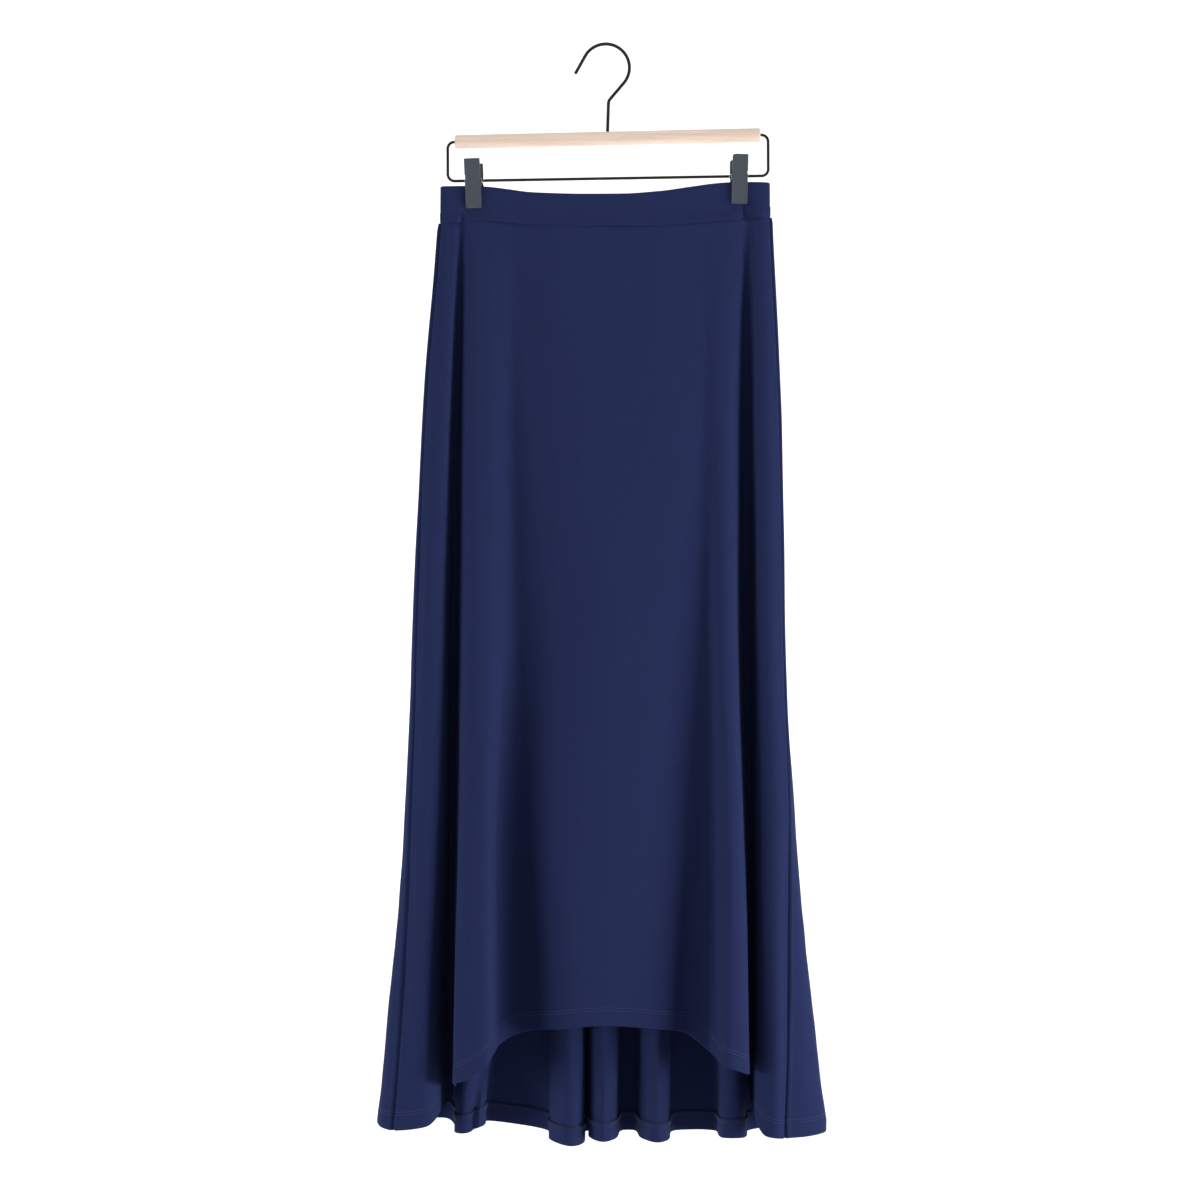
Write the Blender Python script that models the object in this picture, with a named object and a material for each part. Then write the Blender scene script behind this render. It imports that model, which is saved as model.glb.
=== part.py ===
"""A maxi skirt of navy jersey with a curved hem, held by two pinch clips on a wooden hanger.

The skirt hangs in the plane x-z and faces -y. The origin is the highest point inside the hook,
where the hanger bears on whatever it is hung from. A point of the cloth is given by how far it
lies sideways (x), how far forward (-y) and how far below the origin it hangs. Tables are in mm.
"""

import math

import bmesh
import bpy
from mathutils import Matrix, Vector

MM = 0.001
SHARP_DEGREES = 40.0  # an edge that turns more than this stays sharp

# ---- driving sizes, mm

CLOTH = 1.2  # jersey as built, one layer with its nap
BAND_CLOTH = 2.4  # two layers of jersey over the elastic
BAND_LIP = 1.4  # the band's folded top edge
SEAM_GAP = 0.3  # between a panel and the waistband
SIDE_INSET = 0.2  # of each panel's side edge from the side seam

WIRE = 2.9  # the frame's wire
HOOK_WIRE = 3.3
DOWEL = 14.0
BORE_PLAY = 0.35  # of a bore around the wire in it
WIRE_SIDES = 12
ROUND_SIDES = 24  # of the dowel

# ---- fold lines of the skirt

# heights of the six sections: waist, hip, thigh, knee, sweep, hem
HEIGHTS = (-188.0, -410.0, -610.0, -830.0, -1030.0, -1120.0)

# fold line, then sideways at the six sections, then forward at the same six,
# then the height of the cut edge there
FRONT_FOLDS = (
    ("seam_left", -172, -189, -196, -203.5, -213.5, -220.5, 0, 0, 1, 3, 6, 8, -1126.4),
    ("flap_left", -166, -180, -186, -191, -198, -200, 4, 9, 11, 13, 14.5, 15.5, -1123.7),
    ("flap_left_crest", -159.5, -170, -175.5, -180.5, -184.5, -184.5, 4.5, 10.5, 11.5, 12.8, 14.5, 14, -1121),
    ("flap_left_turn", -155.4, -165, -170, -174.2, -178.5, -178, 4, 7, 5.5, 3, 3, 1, -1118.5),
    ("valley_left_outer", -153, -162.2, -166, -169, -173.2, -172.4, 2, -8, -15, -21, -27, -30, -1114),
    ("valley_left", -150.6, -159, -162.4, -165, -166.8, -166.2, 0.4, -18, -30, -41, -51, -54, -1110),
    ("valley_left_foot", -148.7, -154, -157.4, -160.4, -163, -162.6, 0.4, -18, -30, -41, -51, -54, -1106),
    ("valley_left_inner", -146.3, -150.8, -154, -157.2, -160, -160.6, 1.6, -9, -16, -23, -30, -33, -1092),
    ("ridge_left_turn", -143.3, -148, -150.4, -153.6, -157, -157.6, 3.2, -1, -2, -2, -2, -2, -1081.5),
    ("ridge_left_edge", -139, -143.6, -146.4, -150.8, -154.8, -155.8, 4.3, 5, 8.5, 16.5, 24, 26, -1073.8),
    ("ridge_left", -133, -135, -137, -140, -143, -144, 5, 9.7, 15.5, 25, 33, 36, -1068.5),
    ("ridge_left_inner", -123, -124.5, -124, -124, -122.5, -121.4, 5.3, 10.5, 16.5, 26, 34, 36, -1055),
    ("wall_left", -118, -118.5, -118, -120.8, -119.4, -118, 5.2, 9, 12.5, 18, 24, 26, -1049),
    ("wall_left_low", -112, -112.5, -112, -117.2, -116.2, -114.8, 4.8, 5, 5, 0, -3, -4, -1048),
    ("wall_left_foot", -106, -105.5, -105, -113, -112.4, -111, 4.3, 0, -5, -15, -24, -27, -1044.5),
    ("dip_left", -97, -96, -94, -100, -98.5, -97.5, 3.6, -5.5, -13, -22, -29.5, -32, -1036),
    ("dip_left_inner", -80, -76, -72, -77, -76, -76, 5.6, 0, -9, -16, -22, -24, -1028.5),
    ("front_left", -58, -46, -44, -49, -49, -48, 8.5, 9, 6, 5, 2, 1, -1023),
    ("centre_front", -3, -3, -3, -3, -3, -3, 10.5, 13, 14, 14, 12, 11, -1017.5),
    ("front_right", 57, 56, 56, 52, 54, 52, 9, 12, 11, 9, 5, 4, -1022),
    ("dip_right_inner", 80, 84, 86, 85, 84, 82, 7.6, 8, 4.5, -4, -13, -16, -1030),
    ("dip_right", 95, 101, 104.5, 103, 98, 94, 6.6, 5, 2, -9, -17, -22, -1040.5),
    ("wall_right_foot", 102, 106, 109, 113.5, 112, 108.5, 6.1, 5.5, 2.5, -9, -17, -22, -1052.5),
    ("wall_right_low", 108, 110.5, 113, 118, 116.6, 114.4, 5.8, 7.5, 6.5, 0, -7, -10, -1056),
    ("wall_right", 113, 114.2, 114.8, 121, 119.4, 118, 5.6, 9, 11.5, 15, 15, 16, -1056),
    ("ridge_right_inner", 119, 119.4, 118.6, 125.6, 123.6, 122.2, 5.2, 10, 16, 26, 33, 35, -1055.2),
    ("ridge_right", 127.5, 126, 127.5, 134.5, 135, 135.5, 4.6, 9.3, 16, 26, 33.5, 36, -1059),
    ("ridge_right_edge", 134, 131.6, 134.4, 142, 146, 146.8, 3.4, 4.6, 9, 16.5, 24, 26, -1064.5),
    ("ridge_right_turn", 139.4, 135.8, 137.8, 144.8, 148, 148.6, 2.2, -1.5, -2, -2, -2, -2, -1067),
    ("valley_right_inner", 143, 139.4, 141.2, 147, 149.2, 149.2, 1, -11, -17, -24, -30, -33, -1077),
    ("valley_right_foot", 146, 143.6, 145.4, 150.4, 152.2, 152, 0, -20, -31, -41, -51, -54, -1097),
    ("valley_right", 149, 150.6, 152, 155, 155.6, 155, 0, -20, -31, -41, -51, -54, -1109),
    ("valley_right_outer", 151.4, 154.4, 155.8, 158, 157.6, 156.2, 1, -9, -15, -19, -20, -21, -1118),
    ("flap_right_turn", 154, 156.8, 157.8, 160.4, 160, 158.2, 2.4, 3, 2, 4.5, 7.5, 8, -1123),
    ("flap_right_crest", 158.5, 162, 162.6, 166, 166, 164, 3.4, 7, 8.5, 11.5, 14, 14, -1130),
    ("flap_right", 164.5, 170.5, 172.6, 177, 177, 175, 4, 8, 11, 15, 18.5, 19, -1131.8),
    ("seam_right", 171.4, 181.4, 184.8, 190, 188, 185, 0, 0, 1, 4.8, 9.7, 11.8, -1133.6),
)
BACK_FOLDS = (
    ("side_right", 172.8, 183.4, 186.4, 196.2, 206.5, 211.5, -2, -4, -4, -2, 1, 3, -1133.6),
    ("side_right_edge", 172.2, 183.4, 186.6, 199.4, 218.8, 230.8, -4, -9, -11, -12, -14, -15, -1133.2),
    ("side_right_back", 166, 177, 181, 192.6, 209.6, 219, -4.5, -17, -25, -33, -42, -46, -1135.5),
    ("back_right", 157, 165, 169, 177, 187, 191, -4.5, -23, -36, -48, -61, -66, -1140.5),
    ("recess_side_right", 149, 157, 160, 162, 161, 162, -4.5, -25, -39, -51, -64, -69, -1143.5),
    ("fold_e_foot", 144, 148.5, 149.5, 149.5, 149, 150, -4.7, -25, -38.5, -49.5, -58, -61, -1144.5),
    ("fold_e_right", 140, 143, 143.5, 145, 144, 148, -5, -22, -31, -38, -35, -34, -1142.5),
    ("fold_e_front", 135, 137.5, 138.5, 139, 138.5, 141.5, -5, -19, -26, -28, -18, -15, -1140),
    ("fold_e_face", 127, 126.5, 126, 125.5, 125, 125, -5, -19, -26, -28, -18, -15, -1140),
    ("fold_e_left", 121, 120, 120, 120, 120.3, 120.5, -5.3, -21, -31, -38, -35, -34, -1142.5),
    ("recess_e", 113, 111, 110.5, 111, 115, 117, -5.7, -24.5, -38, -50, -60, -64, -1144.5),
    ("recess_d_e", 101, 98, 96, 95, 95, 95, -6.2, -25, -39, -52, -66, -71, -1145),
    ("recess_d", 88, 84, 81, 78, 73, 71, -6.7, -24, -37.5, -49, -61, -65, -1145),
    ("fold_d_right", 79, 75, 72, 69, 65.6, 65, -7, -21, -31, -38, -30, -27, -1145),
    ("fold_d_front", 67, 63, 60, 56.5, 54.5, 53.5, -7.5, -19, -26, -28, -15.5, -11.5, -1144),
    ("fold_d_left", 55, 51, 47, 43, 39, 38, -8, -20.5, -30, -37, -34, -33, -1144.5),
    ("recess_c_d", 45, 41, 37, 33, 31.5, 31, -8.4, -24.5, -38.5, -51, -63, -67, -1144.8),
    ("recess_c_d_left", 39, 33, 28, 22.5, 18.5, 17.5, -8.7, -24.5, -38.5, -51, -63, -67, -1144.8),
    ("fold_c_right", 31, 25, 19, 14, 10.4, 9.4, -9, -21, -31, -38, -30, -27.5, -1143.5),
    ("fold_c_front", 18, 12, 6, 1, -1.8, -2.6, -9, -19.5, -26, -28, -16.5, -12.5, -1143.3),
    ("fold_c_left", 5, -1, -8, -13, -15.4, -15.6, -9.5, -21, -30, -37, -34, -34, -1144),
    ("recess_b_c", -4, -10, -13.5, -16.2, -16.8, -16.6, -9.5, -24.5, -37.5, -49, -62, -67, -1145.2),
    ("recess_b_c_left", -9, -15, -18.5, -21.5, -23.2, -23.6, -9.5, -24.5, -37.5, -49, -62, -67, -1146.2),
    ("fold_b_right", -17, -21, -23, -24.5, -24.2, -24.3, -9, -21.5, -31, -37, -30, -27.5, -1148.5),
    ("fold_b_front", -33, -36, -38, -38.5, -36.5, -36.5, -8.5, -19, -26, -28, -15, -12.4, -1148),
    ("fold_b_left", -49, -51, -53, -55, -57, -57.6, -8, -21, -31, -38, -35, -34, -1146.5),
    ("recess_b", -60, -61, -61, -61.5, -60.5, -60, -7.7, -24.5, -38, -50, -60, -64, -1144.5),
    ("recess_a_b", -86, -88, -90, -92, -95, -95, -7, -25, -39.5, -53, -66, -71, -1139.3),
    ("recess_a", -106, -109, -112, -116, -117, -126.5, -6.5, -24.7, -39, -52, -62, -64, -1134),
    ("fold_a_low", -112, -114, -116.5, -120, -120.5, -127.8, -6.3, -24, -38, -49, -54, -43, -1131.5),
    ("fold_a_face", -115, -116.5, -118.5, -121.7, -122, -129.4, -6.2, -23.5, -36.5, -45.5, -47, -27, -1130),
    ("fold_a_low_turn", -118, -119.3, -121, -123.6, -124, -133.6, -6.1, -23, -35.5, -43, -43, -22, -1130.8),
    ("fold_a_slit", -120.5, -121.5, -123, -125.5, -126, -138, -6, -22.5, -34.5, -41, -39, -24.5, -1132.8),
    ("fold_a_slit_left", -123, -124, -125.5, -128, -128, -140.6, -6, -22, -34, -39.5, -35, -24.5, -1134),
    ("fold_a_right", -127, -128, -129, -131.5, -131.5, -143.4, -5.8, -21.5, -32.5, -36, -25, -20, -1135),
    ("fold_a_front", -133, -136, -138, -140.5, -142, -149, -5.5, -20, -28, -29, -18, -16, -1135.4),
    ("fold_a_left", -140, -144.5, -147.5, -151, -155.6, -156.6, -5, -22, -32.5, -38, -28, -23, -1136.3),
    ("fold_a_foot", -145, -150.5, -153.5, -156.8, -158.6, -158.8, -4.8, -24.5, -38, -50, -54, -50, -1137),
    ("recess_side_left", -150, -158, -162, -165.5, -168, -168.5, -4.5, -25.5, -39.5, -52, -64, -68, -1132.5),
    ("back_left", -158, -168, -174, -181, -188, -191, -4.5, -24, -37, -49, -62, -68, -1131.8),
    ("side_left_back", -165, -181, -189, -199, -214, -222, -4.3, -18, -27, -35, -46, -51, -1128.2),
    ("side_left_edge", -172.8, -192.3, -200.8, -211, -229.5, -239, -4, -10, -11.5, -12.5, -15, -16, -1123),
    ("side_left", -174, -192.8, -201, -209.5, -226, -233, -2, -5, -5, -4, -2, 0, -1125.4),
)
FOLDS = FRONT_FOLDS + BACK_FOLDS  # one closed ring, from the left seam across the front

# how far down its panel each row of points lies, as a share of the way from seam to hem
PANEL_SHARES = (0.0, 0.03, 0.08, 0.15, 0.24, 0.34, 0.45, 0.56, 0.67, 0.78, 0.87, 0.94, 1.0)

# ---- the waistband's lines, by how far sideways

# sideways, height of the top edge (it sags between the clips), height of the seam below it,
# forward at the top of the front layer, forward at the top of the back layer
BAND_LINES = (
    (-175, -147.6, -184.8, 0.0, 0.0),
    (-168, -147.8, -184.8, 2.6, -2.6),
    (-148, -147.4, -184.1, 1.5, -1.5),
    (-128, -148.0, -182.8, 1.5, -1.5),
    (-104, -151.0, -184.6, 3.4, -3.2),
    (-78, -154.5, -187.6, 5.0, -4.6),
    (-20, -156.4, -188.9, 6.6, -5.8),
    (16, -156.2, -189.0, 6.6, -5.8),
    (58, -153.2, -188.6, 5.4, -4.6),
    (92, -148.2, -186.0, 3.6, -3.0),
    (129, -143.7, -182.4, 1.5, -1.5),
    (149.5, -143.2, -180.9, 1.5, -1.5),
    (164, -143.6, -179.4, 2.6, -2.6),
    (175, -143.8, -178.6, 0.0, 0.0),
)
TOP, SEAM, FRONT_TOP, BACK_TOP = 1, 2, 3, 4  # its columns after the first
BAND_SHARES = (0.0, 0.04, 0.66, 0.83, 1.0)  # rows of points, top edge to seam
BAND_SWELLS = 0.66  # below this share the band leaves the clips' pinch and follows the skirt
BAND_IN = (0.015, 0.005)  # how much narrower than the skirt: at its top, at its seam

# ---- the hanger

# across the hanger: left and right ends of the dowel, and of the frame that hangs under it
DOWEL_ENDS = ((-156.8, -100.3), (160.4, -93.0))
FRAME_TOPS = ((-164.4, -100.5), (168.8, -92.8))
FRAME_FEET = ((-164.2, -141.0), (169.0, -135.4))
FRAME_BEND = 7.0  # radius of its four corners
FRAME_IN_DOWEL = 9.0  # length of the frame's wire in each end bore
END_BORE = 11.0  # its full width reaches this deep, and its cone END_CONE more
END_CONE = 1.0
DOWEL_CHAMFER = 0.8

# the hook's centre line: a straight tip, an arc about the origin's own centre, a neck into the dowel
HOOK_RADIUS = 24.6
HOOK_ARC = (151.0, -41.0)  # degrees from +x, at its tip and at its neck
HOOK_ARC_STEPS = 32
HOOK_TIP = (-9.6, -17.2)  # sideways and up, from the arc's first point to the tip
NECK_BEND = (2.9, -57.6)
NECK_FOOT = (1.6, -96.6)
NECK_RADIUS = 7.0
HOOK_BORE = (12.0, -1.5)  # top and bottom of the dowel's bore above the neck's foot

# clip: middle of the front jaw, height of that middle, lean in degrees, rear jaw's slip sideways and down
CLIPS = (
    ("left", -138.0, -144.2, 2.3, 2.7, -2.6),
    ("right", 139.2, -139.7, -1.1, -1.9, -3.4),
)

# a jaw from its top down: height above its middle, inner face, outer face, half width
JAW_SECTIONS = (
    (25.5, 6.9, 8.2, 7.3),
    (24.8, 6.5, 8.6, 8.1),
    (23.6, 6.3, 8.5, 8.2),
    (14.0, 4.9, 7.2, 8.2),
    (9.0, 4.0, 6.7, 8.2),
    (7.6, 3.8, 6.6, 7.8),
    (3.0, 3.6, 6.4, 7.8),
    (1.6, 3.1, 6.2, 8.2),
    (-12.0, 3.0, 5.7, 8.2),
    (-23.2, 3.0, 5.3, 8.2),
    (-24.7, 3.0, 5.1, 7.8),
    (-25.5, 3.2, 4.7, 6.8),
)
SPRING_HOLE, SPRING_OUTER, SPRING_LONG = 3.7, 5.8, 21.0  # two diameters and the length
SPRING_SIDES = 20


def eased(t):
    t = min(1.0, max(0.0, t))
    return t * t * (3.0 - 2.0 * t)


def monotone(places, values, at):
    """A smooth curve through a few rows that never bulges past them."""
    at = min(max(at, places[0]), places[-1])
    steps = [b - a for a, b in zip(places, places[1:])]
    slopes = [(b - a) / step for a, b, step in zip(values, values[1:], steps)]
    lean = [slopes[0]] + [0.0] * (len(steps) - 1) + [slopes[-1]]
    for i in range(1, len(steps)):
        if slopes[i - 1] * slopes[i] > 0:
            first = 2 * steps[i] + steps[i - 1]
            second = steps[i] + 2 * steps[i - 1]
            lean[i] = (first + second) / (first / slopes[i - 1] + second / slopes[i])
    i = 0
    while i < len(steps) - 1 and at > places[i + 1]:
        i += 1
    t = (at - places[i]) / steps[i]
    rise = t * t * (3 - 2 * t)
    return (
        values[i] * (1 - rise)
        + values[i + 1] * rise
        + steps[i] * t * (1 - t) * ((1 - t) * lean[i] - t * lean[i + 1])
    )


def fold_places(height):
    """Where each fold line stands at this height: (sideways, forward, its cut edge)."""
    places = tuple(-h for h in HEIGHTS)
    return [
        Vector((monotone(places, row[1:7], -height), monotone(places, row[7:13], -height), row[13]))
        for row in FOLDS
    ]


def between(a, b, c, d, t):
    """The point a share t of the way from b to c, on the curve that runs through all four."""
    knots = [0.0]
    for p, q in ((a, b), (b, c), (c, d)):
        knots.append(knots[-1] + max((q - p).to_2d().length, 1e-6) ** 0.5)
    k0, k1, k2, k3 = knots
    u = k1 + (k2 - k1) * t
    ab = a.lerp(b, (u - k0) / (k1 - k0))
    bc = b.lerp(c, (u - k1) / (k2 - k1))
    cd = c.lerp(d, (u - k2) / (k3 - k2))
    return ab.lerp(bc, (u - k0) / (k2 - k0)).lerp(bc.lerp(cd, (u - k1) / (k3 - k1)), (u - k1) / (k2 - k1))


def on_ring(places, along):
    """The cloth a given count of fold lines along the ring, from the fold lines' places."""
    i = math.floor(along)
    near = [places[(i + k) % len(places)] for k in (-1, 0, 1, 2)]
    return between(*near, along - i)


def band_line(sideways, column):
    return monotone([row[0] for row in BAND_LINES], [row[column] for row in BAND_LINES], sideways)


def cloth_point(along, height):
    place = on_ring(fold_places(height), along)
    return Vector((place.x, -place.y, height))


def cloth_way(along, height):
    """Along the ring at one point of the cloth, as far as the cloth runs in one fold line."""
    near = 0.02
    return (cloth_point(along + near, height) - cloth_point(along - near, height)) / (2 * near)


def facing(grid, ways, row, column):
    """The way the cloth faces at one point of a grid, out of the skirt."""
    down = grid[min(row + 1, len(grid) - 1)][column] - grid[max(row - 1, 0)][column]
    return down.cross(ways[row][column]).normalized()


def new_piece(name, points, faces, look):
    mesh = bpy.data.meshes.new(name)
    mesh.from_pydata([tuple(p * MM) for p in points], [], faces)
    mesh.validate()
    shape = bmesh.new()
    shape.from_mesh(mesh)
    bmesh.ops.recalc_face_normals(shape, faces=shape.faces)
    if shape.calc_volume(signed=True) < 0:
        bmesh.ops.reverse_faces(shape, faces=shape.faces)
    shape.to_mesh(mesh)
    shape.free()
    mesh.shade_smooth()
    mesh.set_sharp_from_angle(angle=math.radians(SHARP_DEGREES))
    piece = bpy.data.objects.new(name, mesh)
    bpy.context.scene.collection.objects.link(piece)
    mesh.materials.append(look)
    return piece


def thickened(name, grid, ways, thickness, closed, look):
    """One closed solid from a grid of middle points: both faces of the cloth and its cut edges."""
    rows, columns = len(grid), len(grid[0])
    outer, inner = [], []
    for r in range(rows):
        for c in range(columns):
            way = facing(grid, ways, r, c) * (thickness[r] / 2)
            outer.append(grid[r][c] + way)
            inner.append(grid[r][c] - way)
    shift = len(outer)
    faces = []
    spans = columns if closed else columns - 1
    for r in range(rows - 1):
        for c in range(spans):
            d = (c + 1) % columns
            quad = (r * columns + c, r * columns + d, (r + 1) * columns + d, (r + 1) * columns + c)
            faces.append(quad)
            faces.append(tuple(shift + k for k in reversed(quad)))
    for r, turned in ((0, True), (rows - 1, False)):
        for c in range(spans):
            a, b = r * columns + c, r * columns + (c + 1) % columns
            faces.append((b, a, shift + a, shift + b) if turned else (a, b, shift + b, shift + a))
    if not closed:
        for c, turned in ((0, False), (columns - 1, True)):
            for r in range(rows - 1):
                a, b = r * columns + c, (r + 1) * columns + c
                faces.append((b, a, shift + a, shift + b) if turned else (a, b, shift + b, shift + a))
    return new_piece(name, outer + inner, faces, look)


def panel(name, first, last, look):
    """The front or the back: from just inside one side seam to just inside the other."""
    stops = []
    for i in range(first, last):
        stops += [float(i), i + 0.5]
    stops.append(float(last))
    hems = fold_places(HEIGHTS[-1])
    waist = fold_places(HEIGHTS[0])
    columns, ways = [], []
    for stop in stops:
        hem = on_ring(hems, stop).z
        top = band_line(on_ring(waist, stop).x, SEAM) - SEAM_GAP
        inset = {first: SIDE_INSET, last: -SIDE_INSET}.get(stop, 0.0)
        column, across = [], []
        for share in PANEL_SHARES:
            height = top + (hem - top) * share
            at = stop + inset / cloth_way(stop, height).length
            column.append(cloth_point(at, height))
            across.append(cloth_way(at, height))
        columns.append(column)
        ways.append(across)
    grid = [list(row) for row in zip(*columns)]
    across = [list(row) for row in zip(*ways)]
    return thickened(name, grid, across, [CLOTH] * len(grid), False, look)


def band_point(place, share):
    """The band's middle: pinched at its top, following the skirt at its foot."""
    top = band_line(place.x, TOP)
    foot = band_line(place.x, SEAM)
    swell = eased((share - BAND_SWELLS) / (1 - BAND_SWELLS))
    pinched = band_line(place.x, FRONT_TOP if place.y >= 0 else BACK_TOP)
    at_top, at_seam = BAND_IN
    narrowed = place.x * (1 - at_top + (at_top - at_seam) * share)
    return Vector((narrowed, -(pinched + (place.y - pinched) * swell), top + (foot - top) * share))


def waistband(look):
    places = fold_places(HEIGHTS[0])
    count = len(FOLDS)
    middles = [on_ring(places, float(i)) for i in range(count)]
    grid = [[band_point(middle, share) for middle in middles] for share in BAND_SHARES]
    ways = [[row[(i + 1) % count] - row[i - 1] for i in range(count)] for row in grid]
    thickness = [BAND_LIP] + [BAND_CLOTH] * (len(grid) - 1)
    return thickened("waistband", grid, ways, thickness, True, look)


def swept(name, path, radius, sides, look):
    """A round wire along a path."""
    points, faces = [], []
    aside = Vector((0, 1, 0))
    for i, p in enumerate(path):
        way = (path[min(i + 1, len(path) - 1)] - path[max(i - 1, 0)]).normalized()
        up = aside.cross(way).normalized()
        for k in range(sides):
            turn = 2 * math.pi * k / sides
            points.append(p + (aside * math.cos(turn) + up * math.sin(turn)) * radius)
    for i in range(len(path) - 1):
        for k in range(sides):
            a, b = i * sides + k, i * sides + (k + 1) % sides
            faces.append((a, b, b + sides, a + sides))
    faces.append(tuple(reversed(range(sides))))
    faces.append(tuple(range(len(points) - sides, len(points))))
    return new_piece(name, points, faces, look)


def rounded_path(corners, radius, steps):
    """Straight runs with an arc of one radius at each corner, in the hanger's plane."""
    path = [corners[0]]
    for before, corner, after in zip(corners, corners[1:], corners[2:]):
        back = (before - corner).normalized()
        on = (after - corner).normalized()
        half = back.angle(on) / 2
        reach = radius / math.tan(half)
        centre = corner + (back + on).normalized() * (radius / math.sin(half))
        start, end = corner + back * reach - centre, corner + on * reach - centre
        for k in range(steps + 1):
            way = start.slerp(end, k / steps).normalized()
            path.append(centre + way * radius)
    path.append(corners[-1])
    return path


def spot(sideways, height):
    return Vector((sideways, 0, height))


def hanger_dowel(wood):
    """A turned rod, bored at both ends for the frame's wire and from above for the hook."""
    left, right = spot(*DOWEL_ENDS[0]), spot(*DOWEL_ENDS[1])
    way = (right - left).normalized()
    half = (right - left).length / 2
    bore = WIRE / 2 + BORE_PLAY
    outline = [
        (half - END_BORE - END_CONE, 0),
        (half - END_BORE, bore),
        (half, bore),
        (half, DOWEL / 2 - DOWEL_CHAMFER),
        (half - DOWEL_CHAMFER, DOWEL / 2),
    ]
    outline += [(-along, away) for along, away in reversed(outline)]
    sides = ROUND_SIDES
    up = Vector((0, 1, 0)).cross(way)
    points, faces, rings = [], [], []
    for along, away in outline:
        here = left + way * (half + along)
        if away == 0:
            rings.append([len(points)])
            points.append(here)
            continue
        rings.append(list(range(len(points), len(points) + sides)))
        for k in range(sides):
            turn = 2 * math.pi * k / sides
            points.append(here + (Vector((0, 1, 0)) * math.cos(turn) + up * math.sin(turn)) * away)
    for one, two in zip(rings, rings[1:]):
        for k in range(sides):
            n = (k + 1) % sides
            ring = [one[k % len(one)], one[n % len(one)], two[n % len(two)], two[k % len(two)]]
            faces.append(tuple(dict.fromkeys(ring)))
    dowel = new_piece("hanger_dowel", points, faces, wood)
    drill_points = [spot(*NECK_FOOT) + Vector((0, 0, rise)) for rise in HOOK_BORE]
    drill = swept("dowel_drill", drill_points, HOOK_WIRE / 2 + BORE_PLAY, ROUND_SIDES, wood)
    drill.hide_render = True
    drill.display_type = "WIRE"
    bore_cut = dowel.modifiers.new("hook_bore", "BOOLEAN")
    bore_cut.operation = "DIFFERENCE"
    bore_cut.solver = "EXACT"
    bore_cut.object = drill
    return dowel


def hanger_hook(metal):
    """Open hook: a short straight tip at the left, most of a circle, then a neck into the dowel."""
    centre = spot(0, -(HOOK_RADIUS - HOOK_WIRE / 2))
    first, last = HOOK_ARC
    arc = []
    for k in range(HOOK_ARC_STEPS + 1):
        turn = math.radians(first + (last - first) * k / HOOK_ARC_STEPS)
        arc.append(centre + Vector((math.cos(turn), 0, math.sin(turn))) * HOOK_RADIUS)
    tip = arc[0] + spot(*HOOK_TIP)
    neck = rounded_path([arc[-1], spot(*NECK_BEND), spot(*NECK_FOOT)], NECK_RADIUS, 5)
    return swept("hanger_hook", [tip] + arc + neck[1:], HOOK_WIRE / 2, WIRE_SIDES, metal)


def hanger_frame(metal):
    left, right = spot(*FRAME_TOPS[0]), spot(*FRAME_TOPS[1])
    way = (spot(*DOWEL_ENDS[1]) - spot(*DOWEL_ENDS[0])).normalized()
    start = spot(*DOWEL_ENDS[0]) + way * FRAME_IN_DOWEL
    end = spot(*DOWEL_ENDS[1]) - way * FRAME_IN_DOWEL
    corners = [start, left, spot(*FRAME_FEET[0]), spot(*FRAME_FEET[1]), right, end]
    path = rounded_path(corners, FRAME_BEND, 6)
    return swept("hanger_frame", path, WIRE / 2, WIRE_SIDES, metal)


def jaw(name, side, lean, middle, look):
    """One flat jaw of a pinch clip: the grip below, the finger plate splayed out above."""
    points, faces = [], []
    for height, inner, outer, half in JAW_SECTIONS:
        for sideways, forward in ((-half, inner), (half, inner), (half, outer), (-half, outer)):
            points.append(Vector((sideways, -forward * side, height)))
    for i in range(len(JAW_SECTIONS) - 1):
        for k in range(4):
            a, b = 4 * i + k, 4 * i + (k + 1) % 4
            faces.append((a, b, b + 4, a + 4))
    faces.append((3, 2, 1, 0))
    faces.append(tuple(range(len(points) - 4, len(points))))
    turn = Matrix.Rotation(math.radians(-lean), 4, "Y")
    return new_piece(name, [turn @ p + middle for p in points], faces, look)


def spring(name, middle, way, look):
    """The clip's spring, a coil wound on the frame's bar, built as the tube that it fills."""
    sides = SPRING_SIDES
    aside = Vector((0, 1, 0))
    up = aside.cross(way).normalized()
    points, faces = [], []
    for along, away in ((-1, SPRING_HOLE), (-1, SPRING_OUTER), (1, SPRING_OUTER), (1, SPRING_HOLE)):
        for k in range(sides):
            turn = 2 * math.pi * k / sides
            around = (aside * math.cos(turn) + up * math.sin(turn)) * (away / 2)
            points.append(middle + way * (along * SPRING_LONG / 2) + around)
    for i in range(4):
        for k in range(sides):
            a, b = i * sides + k, i * sides + (k + 1) % sides
            j = (i + 1) % 4
            faces.append((a, b, j * sides + (k + 1) % sides, j * sides + k))
    return new_piece(name, points, faces, look)


def surface(name, color, rough, metal=0.0):
    look = bpy.data.materials.new(name)
    look.use_nodes = True
    shader = look.node_tree.nodes["Principled BSDF"]
    shader.inputs["Base Color"].default_value = (*color, 1)
    shader.inputs["Roughness"].default_value = rough
    shader.inputs["Metallic"].default_value = metal
    return look


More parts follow.
